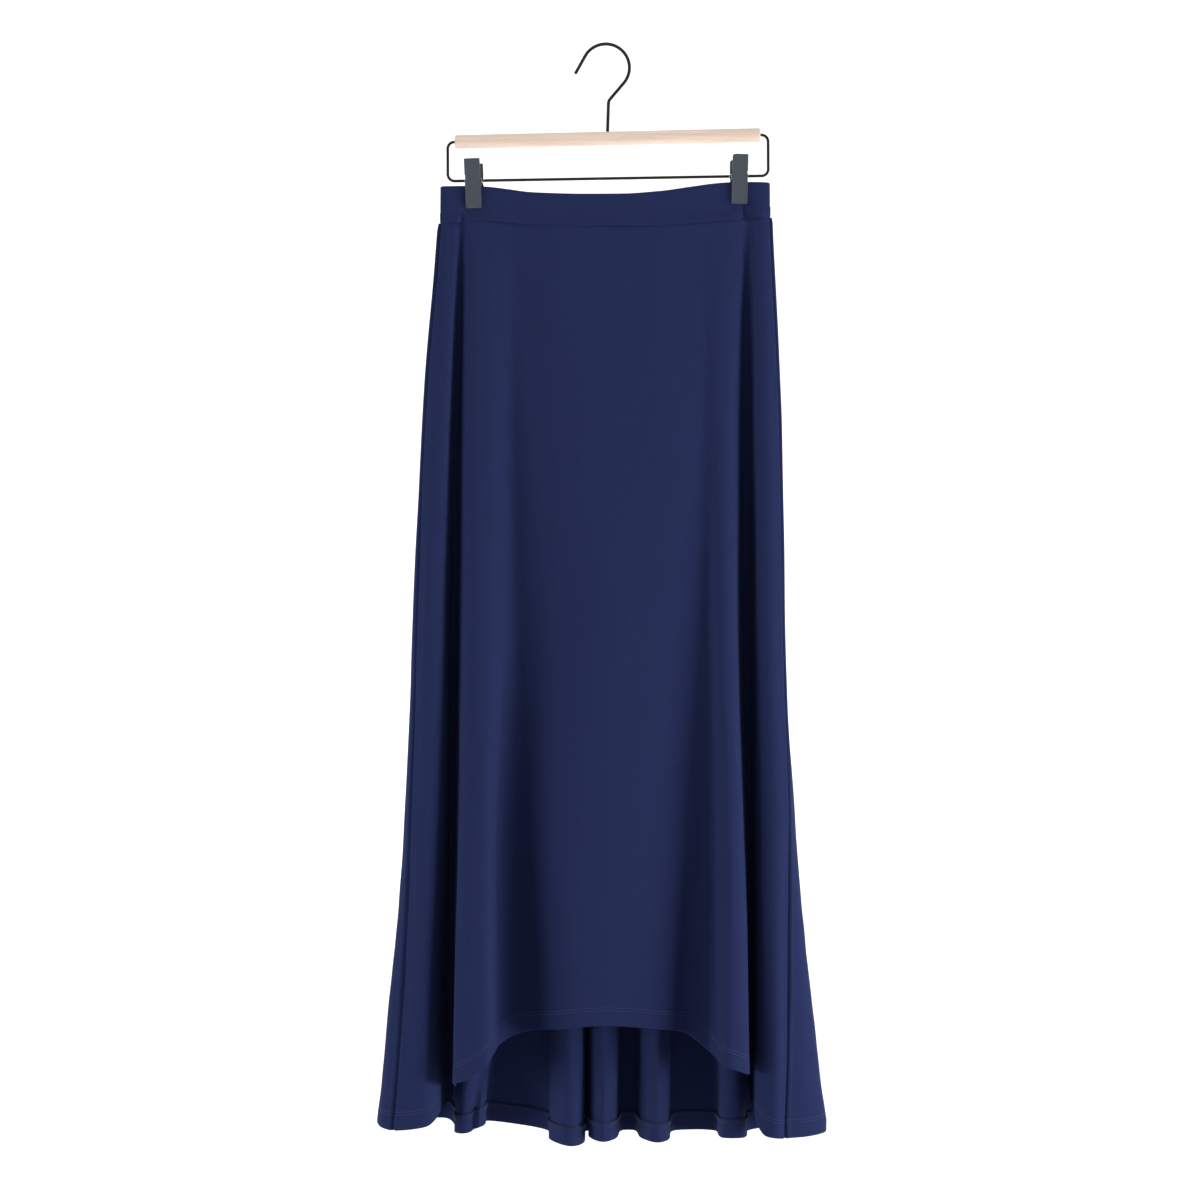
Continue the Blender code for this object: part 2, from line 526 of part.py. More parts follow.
def main():
    for leftover in list(bpy.data.objects):
        bpy.data.objects.remove(leftover, do_unlink=True)
    jersey = surface("navy_jersey", (0.016, 0.025, 0.090), 0.9)
    band_jersey = surface("band_jersey", (0.016, 0.025, 0.090), 0.9)
    beech = surface("beech", (0.92, 0.73, 0.61), 0.55)
    black = surface("black_wire", (0.03, 0.03, 0.033), 0.4)
    slate = surface("slate_plastic", (0.066, 0.078, 0.095), 0.5)
    steel = surface("spring_steel", (0.6, 0.6, 0.6), 0.3, 1.0)

    seam = len(FRONT_FOLDS) - 1
    panel("front_panel", 0, seam, jersey)
    panel("back_panel", seam, len(FOLDS), jersey)
    waistband(band_jersey)

    hanger_dowel(beech)
    hanger_hook(black)
    hanger_frame(black)
    bar_left, bar_right = spot(*FRAME_FEET[0]), spot(*FRAME_FEET[1])
    way = (bar_right - bar_left).normalized()
    for side, sideways, height, lean, slip, drop in CLIPS:
        middle = spot(sideways, height)
        jaw(f"clip_{side}_front_jaw", 1, lean, middle, slate)
        jaw(f"clip_{side}_rear_jaw", -1, lean, middle + Vector((slip, 0, drop)), slate)
        share = (sideways + slip / 2 - bar_left.x) / (bar_right.x - bar_left.x)
        spring(f"clip_{side}_spring", bar_left.lerp(bar_right, share), way, steel)


main()
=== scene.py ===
import math

import bpy
import numpy as np
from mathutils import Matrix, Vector


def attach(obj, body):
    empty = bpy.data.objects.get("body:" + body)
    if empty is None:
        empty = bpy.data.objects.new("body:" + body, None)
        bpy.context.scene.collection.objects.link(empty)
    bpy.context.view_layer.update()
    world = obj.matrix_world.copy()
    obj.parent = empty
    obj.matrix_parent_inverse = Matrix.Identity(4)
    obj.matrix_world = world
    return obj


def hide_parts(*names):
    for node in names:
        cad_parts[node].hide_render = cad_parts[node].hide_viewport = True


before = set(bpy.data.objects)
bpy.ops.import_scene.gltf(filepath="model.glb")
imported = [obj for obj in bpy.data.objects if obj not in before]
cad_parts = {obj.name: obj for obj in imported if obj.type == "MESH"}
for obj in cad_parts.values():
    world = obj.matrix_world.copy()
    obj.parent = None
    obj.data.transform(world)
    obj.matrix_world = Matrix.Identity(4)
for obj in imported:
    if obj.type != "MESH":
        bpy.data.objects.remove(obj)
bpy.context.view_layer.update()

# A maxi skirt of navy jersey, held by two pinch clips on a wooden hanger. x is sideways, -y is
# forward and z is up; the origin is the highest point inside the hook. Tables are in mm.
MM = 0.001

# ---- sizes of the skirt, mm

CLOTH = 0.8  # one layer of jersey
BAND_LAYER = 0.7  # each of the band's two layers
BAND_HALF = 0.85  # from the band's middle to the middle of either layer
HEM_BEND = 0.7  # radius of the folded hem
HEM_DEEP = 20.0  # of the allowance turned up inside
HEM_ROWS = (16.0, 19.0)  # the twin rows of stitches, above the folded edge
SEAM_GAP = 0.05  # between a panel and the waistband sewn to it

# ---- fold lines of the skirt

# heights of the six sections: waist, hip, thigh, knee, sweep, hem
HEIGHTS = (-188.0, -410.0, -610.0, -830.0, -1030.0, -1120.0)

# fold line, then sideways at the six sections, then forward at the same six,
# then the height of the hem's edge there
FRONT_FOLDS = (
    ("seam_left", -172, -189, -196, -203.5, -213.5, -220.5, 0, 0, 1, 3, 6, 8, -1126.4),
    ("flap_left", -166, -180, -186, -191, -198, -200, 4, 9, 11, 13, 14.5, 15.5, -1123.7),
    ("flap_left_crest", -159.5, -170, -175.5, -180.5, -184.5, -184.5, 4.5, 10.5, 11.5, 12.8, 14.5, 14, -1121),
    ("flap_left_turn", -155.4, -165, -170, -174.2, -178.5, -178, 4, 7, 5.5, 3, 3, 1, -1118.5),
    ("valley_left_outer", -153, -162.2, -166, -169, -173.2, -172.4, 2, -8, -15, -21, -27, -30, -1114),
    ("valley_left", -150.6, -159, -162.4, -165, -166.8, -166.2, 0.4, -18, -30, -41, -51, -54, -1110),
    ("valley_left_foot", -148.7, -154, -157.4, -160.4, -163, -162.6, 0.4, -18, -30, -41, -51, -54, -1106),
    ("valley_left_inner", -146.3, -150.8, -154, -157.2, -160, -160.6, 1.6, -9, -16, -23, -30, -33, -1092),
    ("ridge_left_turn", -143.3, -148, -150.4, -153.6, -157, -157.6, 3.2, -1, -2, -2, -2, -2, -1081.5),
    ("ridge_left_edge", -139, -143.6, -146.4, -150.8, -154.8, -155.8, 4.3, 5, 8.5, 16.5, 24, 26, -1073.8),
    ("ridge_left", -133, -135, -137, -140, -143, -144, 5, 9.7, 15.5, 25, 33, 36, -1068.5),
    ("ridge_left_inner", -123, -124.5, -124, -124, -122.5, -121.4, 5.3, 10.5, 16.5, 26, 34, 36, -1055),
    ("wall_left", -118, -118.5, -118, -120.8, -119.4, -118, 5.2, 9, 12.5, 18, 24, 26, -1049),
    ("wall_left_low", -112, -112.5, -112, -117.2, -116.2, -114.8, 4.8, 5, 5, 0, -3, -4, -1048),
    ("wall_left_foot", -106, -105.5, -105, -113, -112.4, -111, 4.3, 0, -5, -15, -24, -27, -1044.5),
    ("dip_left", -97, -96, -94, -100, -98.5, -97.5, 3.6, -5.5, -13, -22, -29.5, -32, -1036),
    ("dip_left_inner", -80, -76, -72, -77, -76, -76, 5.6, 0, -9, -16, -22, -24, -1028.5),
    ("front_left", -58, -46, -44, -49, -49, -48, 8.5, 9, 6, 5, 2, 1, -1023),
    ("centre_front", -3, -3, -3, -3, -3, -3, 10.5, 13, 14, 14, 12, 11, -1017.5),
    ("front_right", 57, 56, 56, 52, 54, 52, 9, 12, 11, 9, 5, 4, -1022),
    ("dip_right_inner", 80, 84, 86, 85, 84, 82, 7.6, 8, 4.5, -4, -13, -16, -1030),
    ("dip_right", 95, 101, 104.5, 103, 98, 94, 6.6, 5, 2, -9, -17, -22, -1040.5),
    ("wall_right_foot", 102, 106, 109, 113.5, 112, 108.5, 6.1, 5.5, 2.5, -9, -17, -22, -1052.5),
    ("wall_right_low", 108, 110.5, 113, 118, 116.6, 114.4, 5.8, 7.5, 6.5, 0, -7, -10, -1056),
    ("wall_right", 113, 114.2, 114.8, 121, 119.4, 118, 5.6, 9, 11.5, 15, 15, 16, -1056),
    ("ridge_right_inner", 119, 119.4, 118.6, 125.6, 123.6, 122.2, 5.2, 10, 16, 26, 33, 35, -1055.2),
    ("ridge_right", 127.5, 126, 127.5, 134.5, 135, 135.5, 4.6, 9.3, 16, 26, 33.5, 36, -1059),
    ("ridge_right_edge", 134, 131.6, 134.4, 142, 146, 146.8, 3.4, 4.6, 9, 16.5, 24, 26, -1064.5),
    ("ridge_right_turn", 139.4, 135.8, 137.8, 144.8, 148, 148.6, 2.2, -1.5, -2, -2, -2, -2, -1067),
    ("valley_right_inner", 143, 139.4, 141.2, 147, 149.2, 149.2, 1, -11, -17, -24, -30, -33, -1077),
    ("valley_right_foot", 146, 143.6, 145.4, 150.4, 152.2, 152, 0, -20, -31, -41, -51, -54, -1097),
    ("valley_right", 149, 150.6, 152, 155, 155.6, 155, 0, -20, -31, -41, -51, -54, -1109),
    ("valley_right_outer", 151.4, 154.4, 155.8, 158, 157.6, 156.2, 1, -9, -15, -19, -20, -21, -1118),
    ("flap_right_turn", 154, 156.8, 157.8, 160.4, 160, 158.2, 2.4, 3, 2, 4.5, 7.5, 8, -1123),
    ("flap_right_crest", 158.5, 162, 162.6, 166, 166, 164, 3.4, 7, 8.5, 11.5, 14, 14, -1130),
    ("flap_right", 164.5, 170.5, 172.6, 177, 177, 175, 4, 8, 11, 15, 18.5, 19, -1131.8),
    ("seam_right", 171.4, 181.4, 184.8, 190, 188, 185, 0, 0, 1, 4.8, 9.7, 11.8, -1133.6),
)
BACK_FOLDS = (
    ("side_right", 172.8, 183.4, 186.4, 196.2, 206.5, 211.5, -2, -4, -4, -2, 1, 3, -1133.6),
    ("side_right_edge", 172.2, 183.4, 186.6, 199.4, 218.8, 230.8, -4, -9, -11, -12, -14, -15, -1133.2),
    ("side_right_back", 166, 177, 181, 192.6, 209.6, 219, -4.5, -17, -25, -33, -42, -46, -1135.5),
    ("back_right", 157, 165, 169, 177, 187, 191, -4.5, -23, -36, -48, -61, -66, -1140.5),
    ("recess_side_right", 149, 157, 160, 162, 161, 162, -4.5, -25, -39, -51, -64, -69, -1143.5),
    ("fold_e_foot", 144, 148.5, 149.5, 149.5, 149, 150, -4.7, -25, -38.5, -49.5, -58, -61, -1144.5),
    ("fold_e_right", 140, 143, 143.5, 145, 144, 148, -5, -22, -31, -38, -35, -34, -1142.5),
    ("fold_e_front", 135, 137.5, 138.5, 139, 138.5, 141.5, -5, -19, -26, -28, -18, -15, -1140),
    ("fold_e_face", 127, 126.5, 126, 125.5, 125, 125, -5, -19, -26, -28, -18, -15, -1140),
    ("fold_e_left", 121, 120, 120, 120, 120.3, 120.5, -5.3, -21, -31, -38, -35, -34, -1142.5),
    ("recess_e", 113, 111, 110.5, 111, 115, 117, -5.7, -24.5, -38, -50, -60, -64, -1144.5),
    ("recess_d_e", 101, 98, 96, 95, 95, 95, -6.2, -25, -39, -52, -66, -71, -1145),
    ("recess_d", 88, 84, 81, 78, 73, 71, -6.7, -24, -37.5, -49, -61, -65, -1145),
    ("fold_d_right", 79, 75, 72, 69, 65.6, 65, -7, -21, -31, -38, -30, -27, -1145),
    ("fold_d_front", 67, 63, 60, 56.5, 54.5, 53.5, -7.5, -19, -26, -28, -15.5, -11.5, -1144),
    ("fold_d_left", 55, 51, 47, 43, 39, 38, -8, -20.5, -30, -37, -34, -33, -1144.5),
    ("recess_c_d", 45, 41, 37, 33, 31.5, 31, -8.4, -24.5, -38.5, -51, -63, -67, -1144.8),
    ("recess_c_d_left", 39, 33, 28, 22.5, 18.5, 17.5, -8.7, -24.5, -38.5, -51, -63, -67, -1144.8),
    ("fold_c_right", 31, 25, 19, 14, 10.4, 9.4, -9, -21, -31, -38, -30, -27.5, -1143.5),
    ("fold_c_front", 18, 12, 6, 1, -1.8, -2.6, -9, -19.5, -26, -28, -16.5, -12.5, -1143.3),
    ("fold_c_left", 5, -1, -8, -13, -15.4, -15.6, -9.5, -21, -30, -37, -34, -34, -1144),
    ("recess_b_c", -4, -10, -13.5, -16.2, -16.8, -16.6, -9.5, -24.5, -37.5, -49, -62, -67, -1145.2),
    ("recess_b_c_left", -9, -15, -18.5, -21.5, -23.2, -23.6, -9.5, -24.5, -37.5, -49, -62, -67, -1146.2),
    ("fold_b_right", -17, -21, -23, -24.5, -24.2, -24.3, -9, -21.5, -31, -37, -30, -27.5, -1148.5),
    ("fold_b_front", -33, -36, -38, -38.5, -36.5, -36.5, -8.5, -19, -26, -28, -15, -12.4, -1148),
    ("fold_b_left", -49, -51, -53, -55, -57, -57.6, -8, -21, -31, -38, -35, -34, -1146.5),
    ("recess_b", -60, -61, -61, -61.5, -60.5, -60, -7.7, -24.5, -38, -50, -60, -64, -1144.5),
    ("recess_a_b", -86, -88, -90, -92, -95, -95, -7, -25, -39.5, -53, -66, -71, -1139.3),
    ("recess_a", -106, -109, -112, -116, -117, -126.5, -6.5, -24.7, -39, -52, -62, -64, -1134),
    ("fold_a_low", -112, -114, -116.5, -120, -120.5, -127.8, -6.3, -24, -38, -49, -54, -43, -1131.5),
    ("fold_a_face", -115, -116.5, -118.5, -121.7, -122, -129.4, -6.2, -23.5, -36.5, -45.5, -47, -27, -1130),
    ("fold_a_low_turn", -118, -119.3, -121, -123.6, -124, -133.6, -6.1, -23, -35.5, -43, -43, -22, -1130.8),
    ("fold_a_slit", -120.5, -121.5, -123, -125.5, -126, -138, -6, -22.5, -34.5, -41, -39, -24.5, -1132.8),
    ("fold_a_slit_left", -123, -124, -125.5, -128, -128, -140.6, -6, -22, -34, -39.5, -35, -24.5, -1134),
    ("fold_a_right", -127, -128, -129, -131.5, -131.5, -143.4, -5.8, -21.5, -32.5, -36, -25, -20, -1135),
    ("fold_a_front", -133, -136, -138, -140.5, -142, -149, -5.5, -20, -28, -29, -18, -16, -1135.4),
    ("fold_a_left", -140, -144.5, -147.5, -151, -155.6, -156.6, -5, -22, -32.5, -38, -28, -23, -1136.3),
    ("fold_a_foot", -145, -150.5, -153.5, -156.8, -158.6, -158.8, -4.8, -24.5, -38, -50, -54, -50, -1137),
    ("recess_side_left", -150, -158, -162, -165.5, -168, -168.5, -4.5, -25.5, -39.5, -52, -64, -68, -1132.5),
    ("back_left", -158, -168, -174, -181, -188, -191, -4.5, -24, -37, -49, -62, -68, -1131.8),
    ("side_left_back", -165, -181, -189, -199, -214, -222, -4.3, -18, -27, -35, -46, -51, -1128.2),
    ("side_left_edge", -172.8, -192.3, -200.8, -211, -229.5, -239, -4, -10, -11.5, -12.5, -15, -16, -1123),
    ("side_left", -174, -192.8, -201, -209.5, -226, -233, -2, -5, -5, -4, -2, 0, -1125.4),
)
FOLDS = FRONT_FOLDS + BACK_FOLDS  # one closed ring, from the left seam across the front
SIDEWAYS = np.array([row[1:7] for row in FOLDS], float)
FORWARD = np.array([row[7:13] for row in FOLDS], float)
EDGES = np.array([row[13] for row in FOLDS], float)
DEPTHS = -np.array(HEIGHTS)
SIDE_SEAM = len(FRONT_FOLDS) - 1

# sideways, height of the top edge, height of the seam below it,
# forward at the top of the front layer, forward at the top of the back layer
BAND_LINES = np.array(
    (
        (-175, -147.6, -184.8, 0.0, 0.0),
        (-168, -147.8, -184.8, 2.6, -2.6),
        (-148, -147.4, -184.1, 1.5, -1.5),
        (-128, -148.0, -182.8, 1.5, -1.5),
        (-104, -151.0, -184.6, 3.4, -3.2),
        (-78, -154.5, -187.6, 5.0, -4.6),
        (-20, -156.4, -188.9, 6.6, -5.8),
        (16, -156.2, -189.0, 6.6, -5.8),
        (58, -153.2, -188.6, 5.4, -4.6),
        (92, -148.2, -186.0, 3.6, -3.0),
        (129, -143.7, -182.4, 1.5, -1.5),
        (149.5, -143.2, -180.9, 1.5, -1.5),
        (164, -143.6, -179.4, 2.6, -2.6),
        (175, -143.8, -178.6, 0.0, 0.0),
    )
)
TOP, SEAM, FRONT_TOP, BACK_TOP = 1, 2, 3, 4
BAND_SWELLS = 0.66  # below this share the band leaves the clips' pinch and follows the skirt
BAND_IN = (0.015, 0.014)  # how much narrower than the skirt: at its top, at its seam

# troughs (and, below 0, ridges) that the cloth has between its fold lines: panel, sideways at the
# top and at the foot, height of the top and of the foot, half width, depth
CREASES = (
    ("front_panel", -118, -122, -186, -420, 7.0, -0.8),
    ("front_panel", -60, -40, -190, -620, 26.0, 0.8),
    ("front_panel", 40, 30, -190, -700, 30.0, 0.7),
    ("front_panel", 112, 104, -186, -380, 6.0, 0.7),
    ("back_panel", 60, 40, -190, -520, 14.0, 1.2),
    ("back_panel", -30, -52, -190, -600, 16.0, 1.2),
    ("front_panel", -150.2, -156.0, -178, -430, 3.8, 4.2),
    ("front_panel", 146.6, 144.4, -170, -440, 6.2, 6.6),
    ("front_panel", 141.0, 139.6, -180, -400, 7.0, 1.4),
    ("back_panel", 147.2, 144.6, -176, -440, 12.0, -3.0),
    ("back_panel", -150.2, -156.0, -178, -430, 10.0, -2.0),
    ("back_panel", -126.5, -141.5, -1052, -1136, 2.2, 7.0),
    ("waistband", -150, -150.4, -171, -200, 2.4, 1.2),
    ("waistband", 147.0, 146.6, -160, -202, 6.5, 2.9),
)

# ---- how the cloth stands off the smooth surface through its fold lines, mm

CALM = 60.0  # below the waist seam, where the band holds the cloth smooth
WAVES = ((0.9, 46.0, 210.0), (0.35, 19.0, 90.0))  # height, width and length of two sizes of wave
PUCKERS = (0.22, 6.0, 30.0)  # height, width and length
PUCKERS_REACH = 9.0  # below the waist seam
WAIST_GROOVE = (0.4, 1.2)  # depth and half width
SIDE_GROOVE = (1.9, 1.5)
SIDE_RIDGE = (0.9, 1.9)  # height and half width of the allowance's ridge
SIDE_RIDGE_IN = 3.6  # from the side seam
HEM_STEP = 0.3  # of the doubled cloth
STITCH_GROOVE = (0.3, 0.9)
HEM_RIPPLES = (0.3, 5.5, 60.0)
HEM_RIPPLES_REACH = 12.0
BAND_GROOVE = (0.3, 1.2)
BAND_HIGH = 36.0
BAND_WAVES = (0.35, 30.0, 26.0)
BAND_PUCKERS = (0.12, 7.0, 30.0)
BAND_PROUD = (1.2, 98.0, 26.0)  # how much, where, half width
CLIPPED = (138.6, 12.0)  # middle and half width of the stretches that the clips press flat

# ---- sizes of the sewing, mm

STITCH_PITCH = 2.9
STITCH = (2.3, 0.55, 0.42)  # length, width, height
LOOPER_PITCH = 2.8
LOOPER_RADIUS = 0.17

# ---- sizes of the hanger, mm

WIRE = 2.9  # the frame's wire
HOOK_WIRE = 3.3
BORE_PLAY = 0.35  # of a bore or coil around the wire in it
DOWEL = 14.0
DOWEL_RIM = 1.1  # radius of its softened rims
END_BORE = 9.0  # depth
FRAME_IN_BORE = 8.0
DOWEL_ENDS = ((-156.8, -100.3), (160.4, -93.0))
FRAME_TOPS = ((-164.4, -100.5), (168.8, -92.8))
FRAME_FEET = ((-164.2, -141.0), (169.0, -135.4))
FRAME_BEND = 7.0
HOOK_RADIUS = 24.6
HOOK_ARC = (151.0, -41.0)  # degrees from +x, at its tip and at its neck
HOOK_TIP = (-9.6, -17.2)  # sideways and up, from the arc's first point
NECK_BEND = (2.9, -57.6)
NECK_FOOT = (1.6, -96.6)
NECK_RADIUS = 7.0

# clip: middle of the front jaw, height of that middle, lean in degrees, rear jaw's slip sideways
# and down, then the radii of its corners: top left, top right, bottom left, bottom right
CLIPS = (
    ("left", -138.0, -144.2, 2.3, 2.7, -2.6, (0.6, 1.2, 1.6, 1.6)),
    ("right", 139.2, -139.7, -1.1, -1.9, -3.4, (3.0, 0.8, 1.4, 1.8)),
)

# a jaw from its top down: height above its middle, inner face, outer face, half width
JAW_LINES = np.array(
    (
        (25.5, 6.9, 8.5, 8.2),
        (14.0, 4.9, 7.4, 8.2),
        (9.0, 4.0, 6.8, 8.2),
        (7.6, 3.8, 6.6, 7.7),
        (3.0, 3.6, 6.4, 7.7),
        (1.6, 3.1, 6.2, 8.2),
        (-12.0, 3.0, 5.7, 8.2),
        (-23.2, 3.0, 5.3, 8.2),
        (-25.5, 3.0, 5.1, 8.2),
    )
)
JAW_ROUND = 0.5  # radius of its top and foot edges
JAW_EDGE = 0.45  # radius of its upright edges
PANEL_DEEP = 0.3  # of the shallow panel in its lower outer face
PANEL_RIM = 1.3  # width of the rim around that panel
LUG_LINES = ((-0.7, 3.0), (-0.6, 3.3), (0.6, 3.3), (0.7, 3.0))  # along the bar, radius
LUG_MIDDLE = (1.6, 4.2)  # out from the bar's plane, above the jaw's middle
LUGS = {1: (-7.0, 7.0), -1: (-5.4, 5.4)}  # places along the bar, on the front and the rear jaw
SPRING_TURNS, SPRING_WIRE, SPRING_LONG = 9, 1.0, 20.5


# ---- shapes


def normalised(ways):
    return ways / np.maximum(np.linalg.norm(ways, axis=-1, keepdims=True), 1e-9)


def eased(t):
    t = np.clip(t, 0.0, 1.0)
    return t * t * (3.0 - 2.0 * t)


def hump(away, half_width):
    return np.exp(-((away / half_width) ** 2))


def monotone(places, values, at):
    """Smooth curves through table values that never bulge past them, one curve for each row of values."""
    steps = np.diff(places)
    slopes = np.diff(values) / steps
    lean = np.zeros_like(values)
    lean[..., 0], lean[..., -1] = slopes[..., 0], slopes[..., -1]
    before, after = slopes[..., :-1], slopes[..., 1:]
    turning = before * after <= 0
    first, second = 2 * steps[1:] + steps[:-1], steps[1:] + 2 * steps[:-1]
    slow = np.where(turning, 1.0, before), np.where(turning, 1.0, after)
    lean[..., 1:-1] = np.where(turning, 0.0, (first + second) / (first / slow[0] + second / slow[1]))
    at = np.clip(at, places[0], places[-1])
    i = np.clip(np.searchsorted(places, at, side="right") - 1, 0, len(steps) - 1)
    t = (at - places[i]) / steps[i]
    rise = t * t * (3 - 2 * t)
    curve = np.arange(len(values)) if values.ndim > 1 else ...
    low, high = (values[curve, i + k] if values.ndim > 1 else values[i + k] for k in (0, 1))
    start, end = (lean[curve, i + k] if values.ndim > 1 else lean[i + k] for k in (0, 1))
    return low * (1 - rise) + high * rise + steps[i] * t * (1 - t) * ((1 - t) * start - t * end)


def on_ring(along, heights):
    """Sideways and forward of the cloth at counts of fold lines along the ring, one for each column of
    heights, and after them the height of the hem's edge there."""
    first = np.floor(along).astype(int)
    share = (along - first)[:, None]
    corners = []
    for k in (-1, 0, 1, 2):
        line = (first + k) % len(FOLDS)
        place = monotone(DEPTHS, SIDEWAYS[line], -heights), monotone(DEPTHS, FORWARD[line], -heights)
        corners.append(np.stack([*place, np.broadcast_to(EDGES[line], heights.shape)], -1))
    a, b, c, d = corners
    knots = [np.zeros(heights.shape + (1,))]
    for p, q in ((a, b), (b, c), (c, d)):
        apart = np.linalg.norm((q - p)[..., :2], axis=-1, keepdims=True)
        knots.append(knots[-1] + np.sqrt(np.maximum(apart, 1e-6)))
    k0, k1, k2, k3 = knots
    u = k1 + (k2 - k1) * share

    def mix(p, q, start, end):
        return p + (q - p) * (u - start) / (end - start)

    ab, bc, cd = mix(a, b, k0, k1), mix(b, c, k1, k2), mix(c, d, k2, k3)
    return mix(mix(ab, bc, k0, k2), mix(bc, cd, k1, k3), k1, k2)


def cloth_at(along, heights):
    place = on_ring(along, heights)
    return np.stack([place[..., 0], -place[..., 1], heights], -1)


def outward(along, heights):
    """The way the skirt's cloth faces at each point of a grid."""
    across = cloth_at(along + 0.02, heights) - cloth_at(along - 0.02, heights)
    down = cloth_at(along, heights - 2.0) - cloth_at(along, heights + 2.0)
    return normalised(np.cross(down, across))


def band_line(sideways, column):
    return monotone(BAND_LINES[:, 0], BAND_LINES[:, column], sideways)


def spread(first, last, gap):
    """Counts of fold lines at points about gap mm apart along the hem, and closer at the side seams."""
    fine = np.linspace(first, last, 60 * (last - first) + 1)
    rings = cloth_at(fine, np.tile([[-420.0], [-1080.0]], (1, len(fine))))
    run = np.linalg.norm(np.diff(rings, axis=1), axis=-1).T @ (0.3, 0.7)
    run = np.concatenate([[0.0], np.cumsum(run)])
    near = np.array([0.0, 0.7, 1.4, 2.2, 3.2, 4.6, 6.4])
    middle = np.linspace(near[-1], run[-1] - near[-1], int(run[-1] / gap))
    return np.interp(np.concatenate([near[:-1], middle, run[-1] - near[-2::-1]]), run, fine)


def soft_noise(across, down, wide, high, seed):
    """Smooth unevenness from -1 to 1, about one bump to each wide x high mm."""
    table = np.random.default_rng(seed).uniform(-1, 1, (64, 64))
    x, y = across / wide, down / high
    i, j = np.floor(x).astype(int), np.floor(y).astype(int)
    s, t = x - i, y - j
    s, t = s**3 * (10 - 15 * s + 6 * s * s), t**3 * (10 - 15 * t + 6 * t * t)

    def corner(k, m):
        return table[(i + k) % 64, (j + m) % 64]

    low = corner(0, 0) * (1 - s) + corner(1, 0) * s
    return low * (1 - t) + (corner(0, 1) * (1 - s) + corner(1, 1) * s) * t


def bumps(size, across, down, seed):
    """Soft unevenness of a size given as height, width and length."""
    return size[0] * soft_noise(across, down, size[1], size[2], seed)


def groove(size, away):
    """A groove or ridge of a size given as depth and half width."""
    return size[0] * hump(away, size[1])


def creased(panel, sideways, heights):
    depth = np.zeros(np.broadcast(sideways, heights).shape)
    for name, top_x, foot_x, top, foot, half, deep in CREASES:
        if name == panel:
            share = (heights - top) / (foot - top)
            fade = eased((share + 0.05) * 6) * eased((1.0 - share) * 1.6)
            line = top_x + (foot_x - top_x) * np.clip(share, 0, 1)
            depth += deep * fade * hump(sideways - line, half)
    return depth


def quads(number, shift, closed):
    """Corners of a sheet's faces: outer skin, inner skin (numbers moved by shift) and cut edges."""
    a, b, c, d = number[:-1, :-1], number[1:, :-1], number[1:, 1:], number[:-1, 1:]
    outer = np.stack([a, b, c, d], -1).reshape(-1, 4)
    strips = [outer, outer[:, ::-1] + shift]
    edges = [number[0], number[-1, ::-1]]
    if not closed:
        edges += [number[::-1, 0], number[:, -1]]
    for edge in edges:
        strips.append(np.stack([edge[:-1], edge[1:], edge[1:] + shift, edge[:-1] + shift], -1))
    return np.concatenate(strips)


def flat_map(middles, centre, closed=False):
    """Metres across and down the flat cloth at each point of a grid, across from its centre column."""
    if closed:
        middles = np.concatenate([middles, middles[:, :1]], axis=1)
    across = np.linalg.norm(np.diff(middles, axis=1), axis=-1)
    across = np.concatenate([np.zeros((len(middles), 1)), np.cumsum(across, axis=1)], axis=1)
    down = np.linalg.norm(np.diff(middles, axis=0), axis=-1)
    down = np.concatenate([np.zeros((1, middles.shape[1])), np.cumsum(down, axis=0)])
    return np.stack([across - across[:, centre : centre + 1], down], -1) * MM


def sheet(middles, thickness, centre, closed=False):
    """Points, faces and the flat map of a closed sheet of cloth about a grid of its middle points."""
    rows, columns = middles.shape[:2]
    down = np.gradient(middles, axis=0)
    if closed:
        across = np.roll(middles, -1, axis=1) - np.roll(middles, 1, axis=1)
    else:
        across = np.gradient(middles, axis=1)
    out = normalised(np.cross(down, across)) * (thickness / 2)
    points = np.concatenate([(middles + out).reshape(-1, 3), (middles - out).reshape(-1, 3)])
    number = np.arange(rows * columns).reshape(rows, columns)
    if closed:
        number = np.concatenate([number, number[:, :1]], axis=1)
    flat = flat_map(middles, centre, closed)
    spots = np.arange(flat[..., 0].size).reshape(flat.shape[:2])
    faces = quads(number, rows * columns, closed)
    return points, faces, flat.reshape(-1, 2)[quads(spots, 0, closed).reshape(-1)]


def joined(parts):
    """Several (points, faces, map) as one."""
    points, faces, maps, shift = [], [], [], 0
    for part_points, part_faces, *part_map in parts:
        points.append(part_points)
        faces.extend((np.asarray(face) + shift).tolist() for face in part_faces)
        maps.extend(part_map)
        shift += len(part_points)
    return np.concatenate(points), faces, *([np.concatenate(maps)] if maps else [])


def new_piece(name, look, points, faces, flat=None, sharp=50.0):
    mesh = bpy.data.meshes.new(name)
    mesh.from_pydata((points * MM).tolist(), [], faces if isinstance(faces, list) else faces.tolist())
    if flat is not None:
        mesh.uv_layers.new(name="cloth").uv.foreach_set("vector", flat.astype(np.float32).ravel())
    mesh.shade_smooth()
    mesh.set_sharp_from_angle(angle=math.radians(sharp))
    mesh.materials.append(look)
    piece = bpy.data.objects.new(name, mesh)
    bpy.context.scene.collection.objects.link(piece)
    return piece


# ---- the skirt


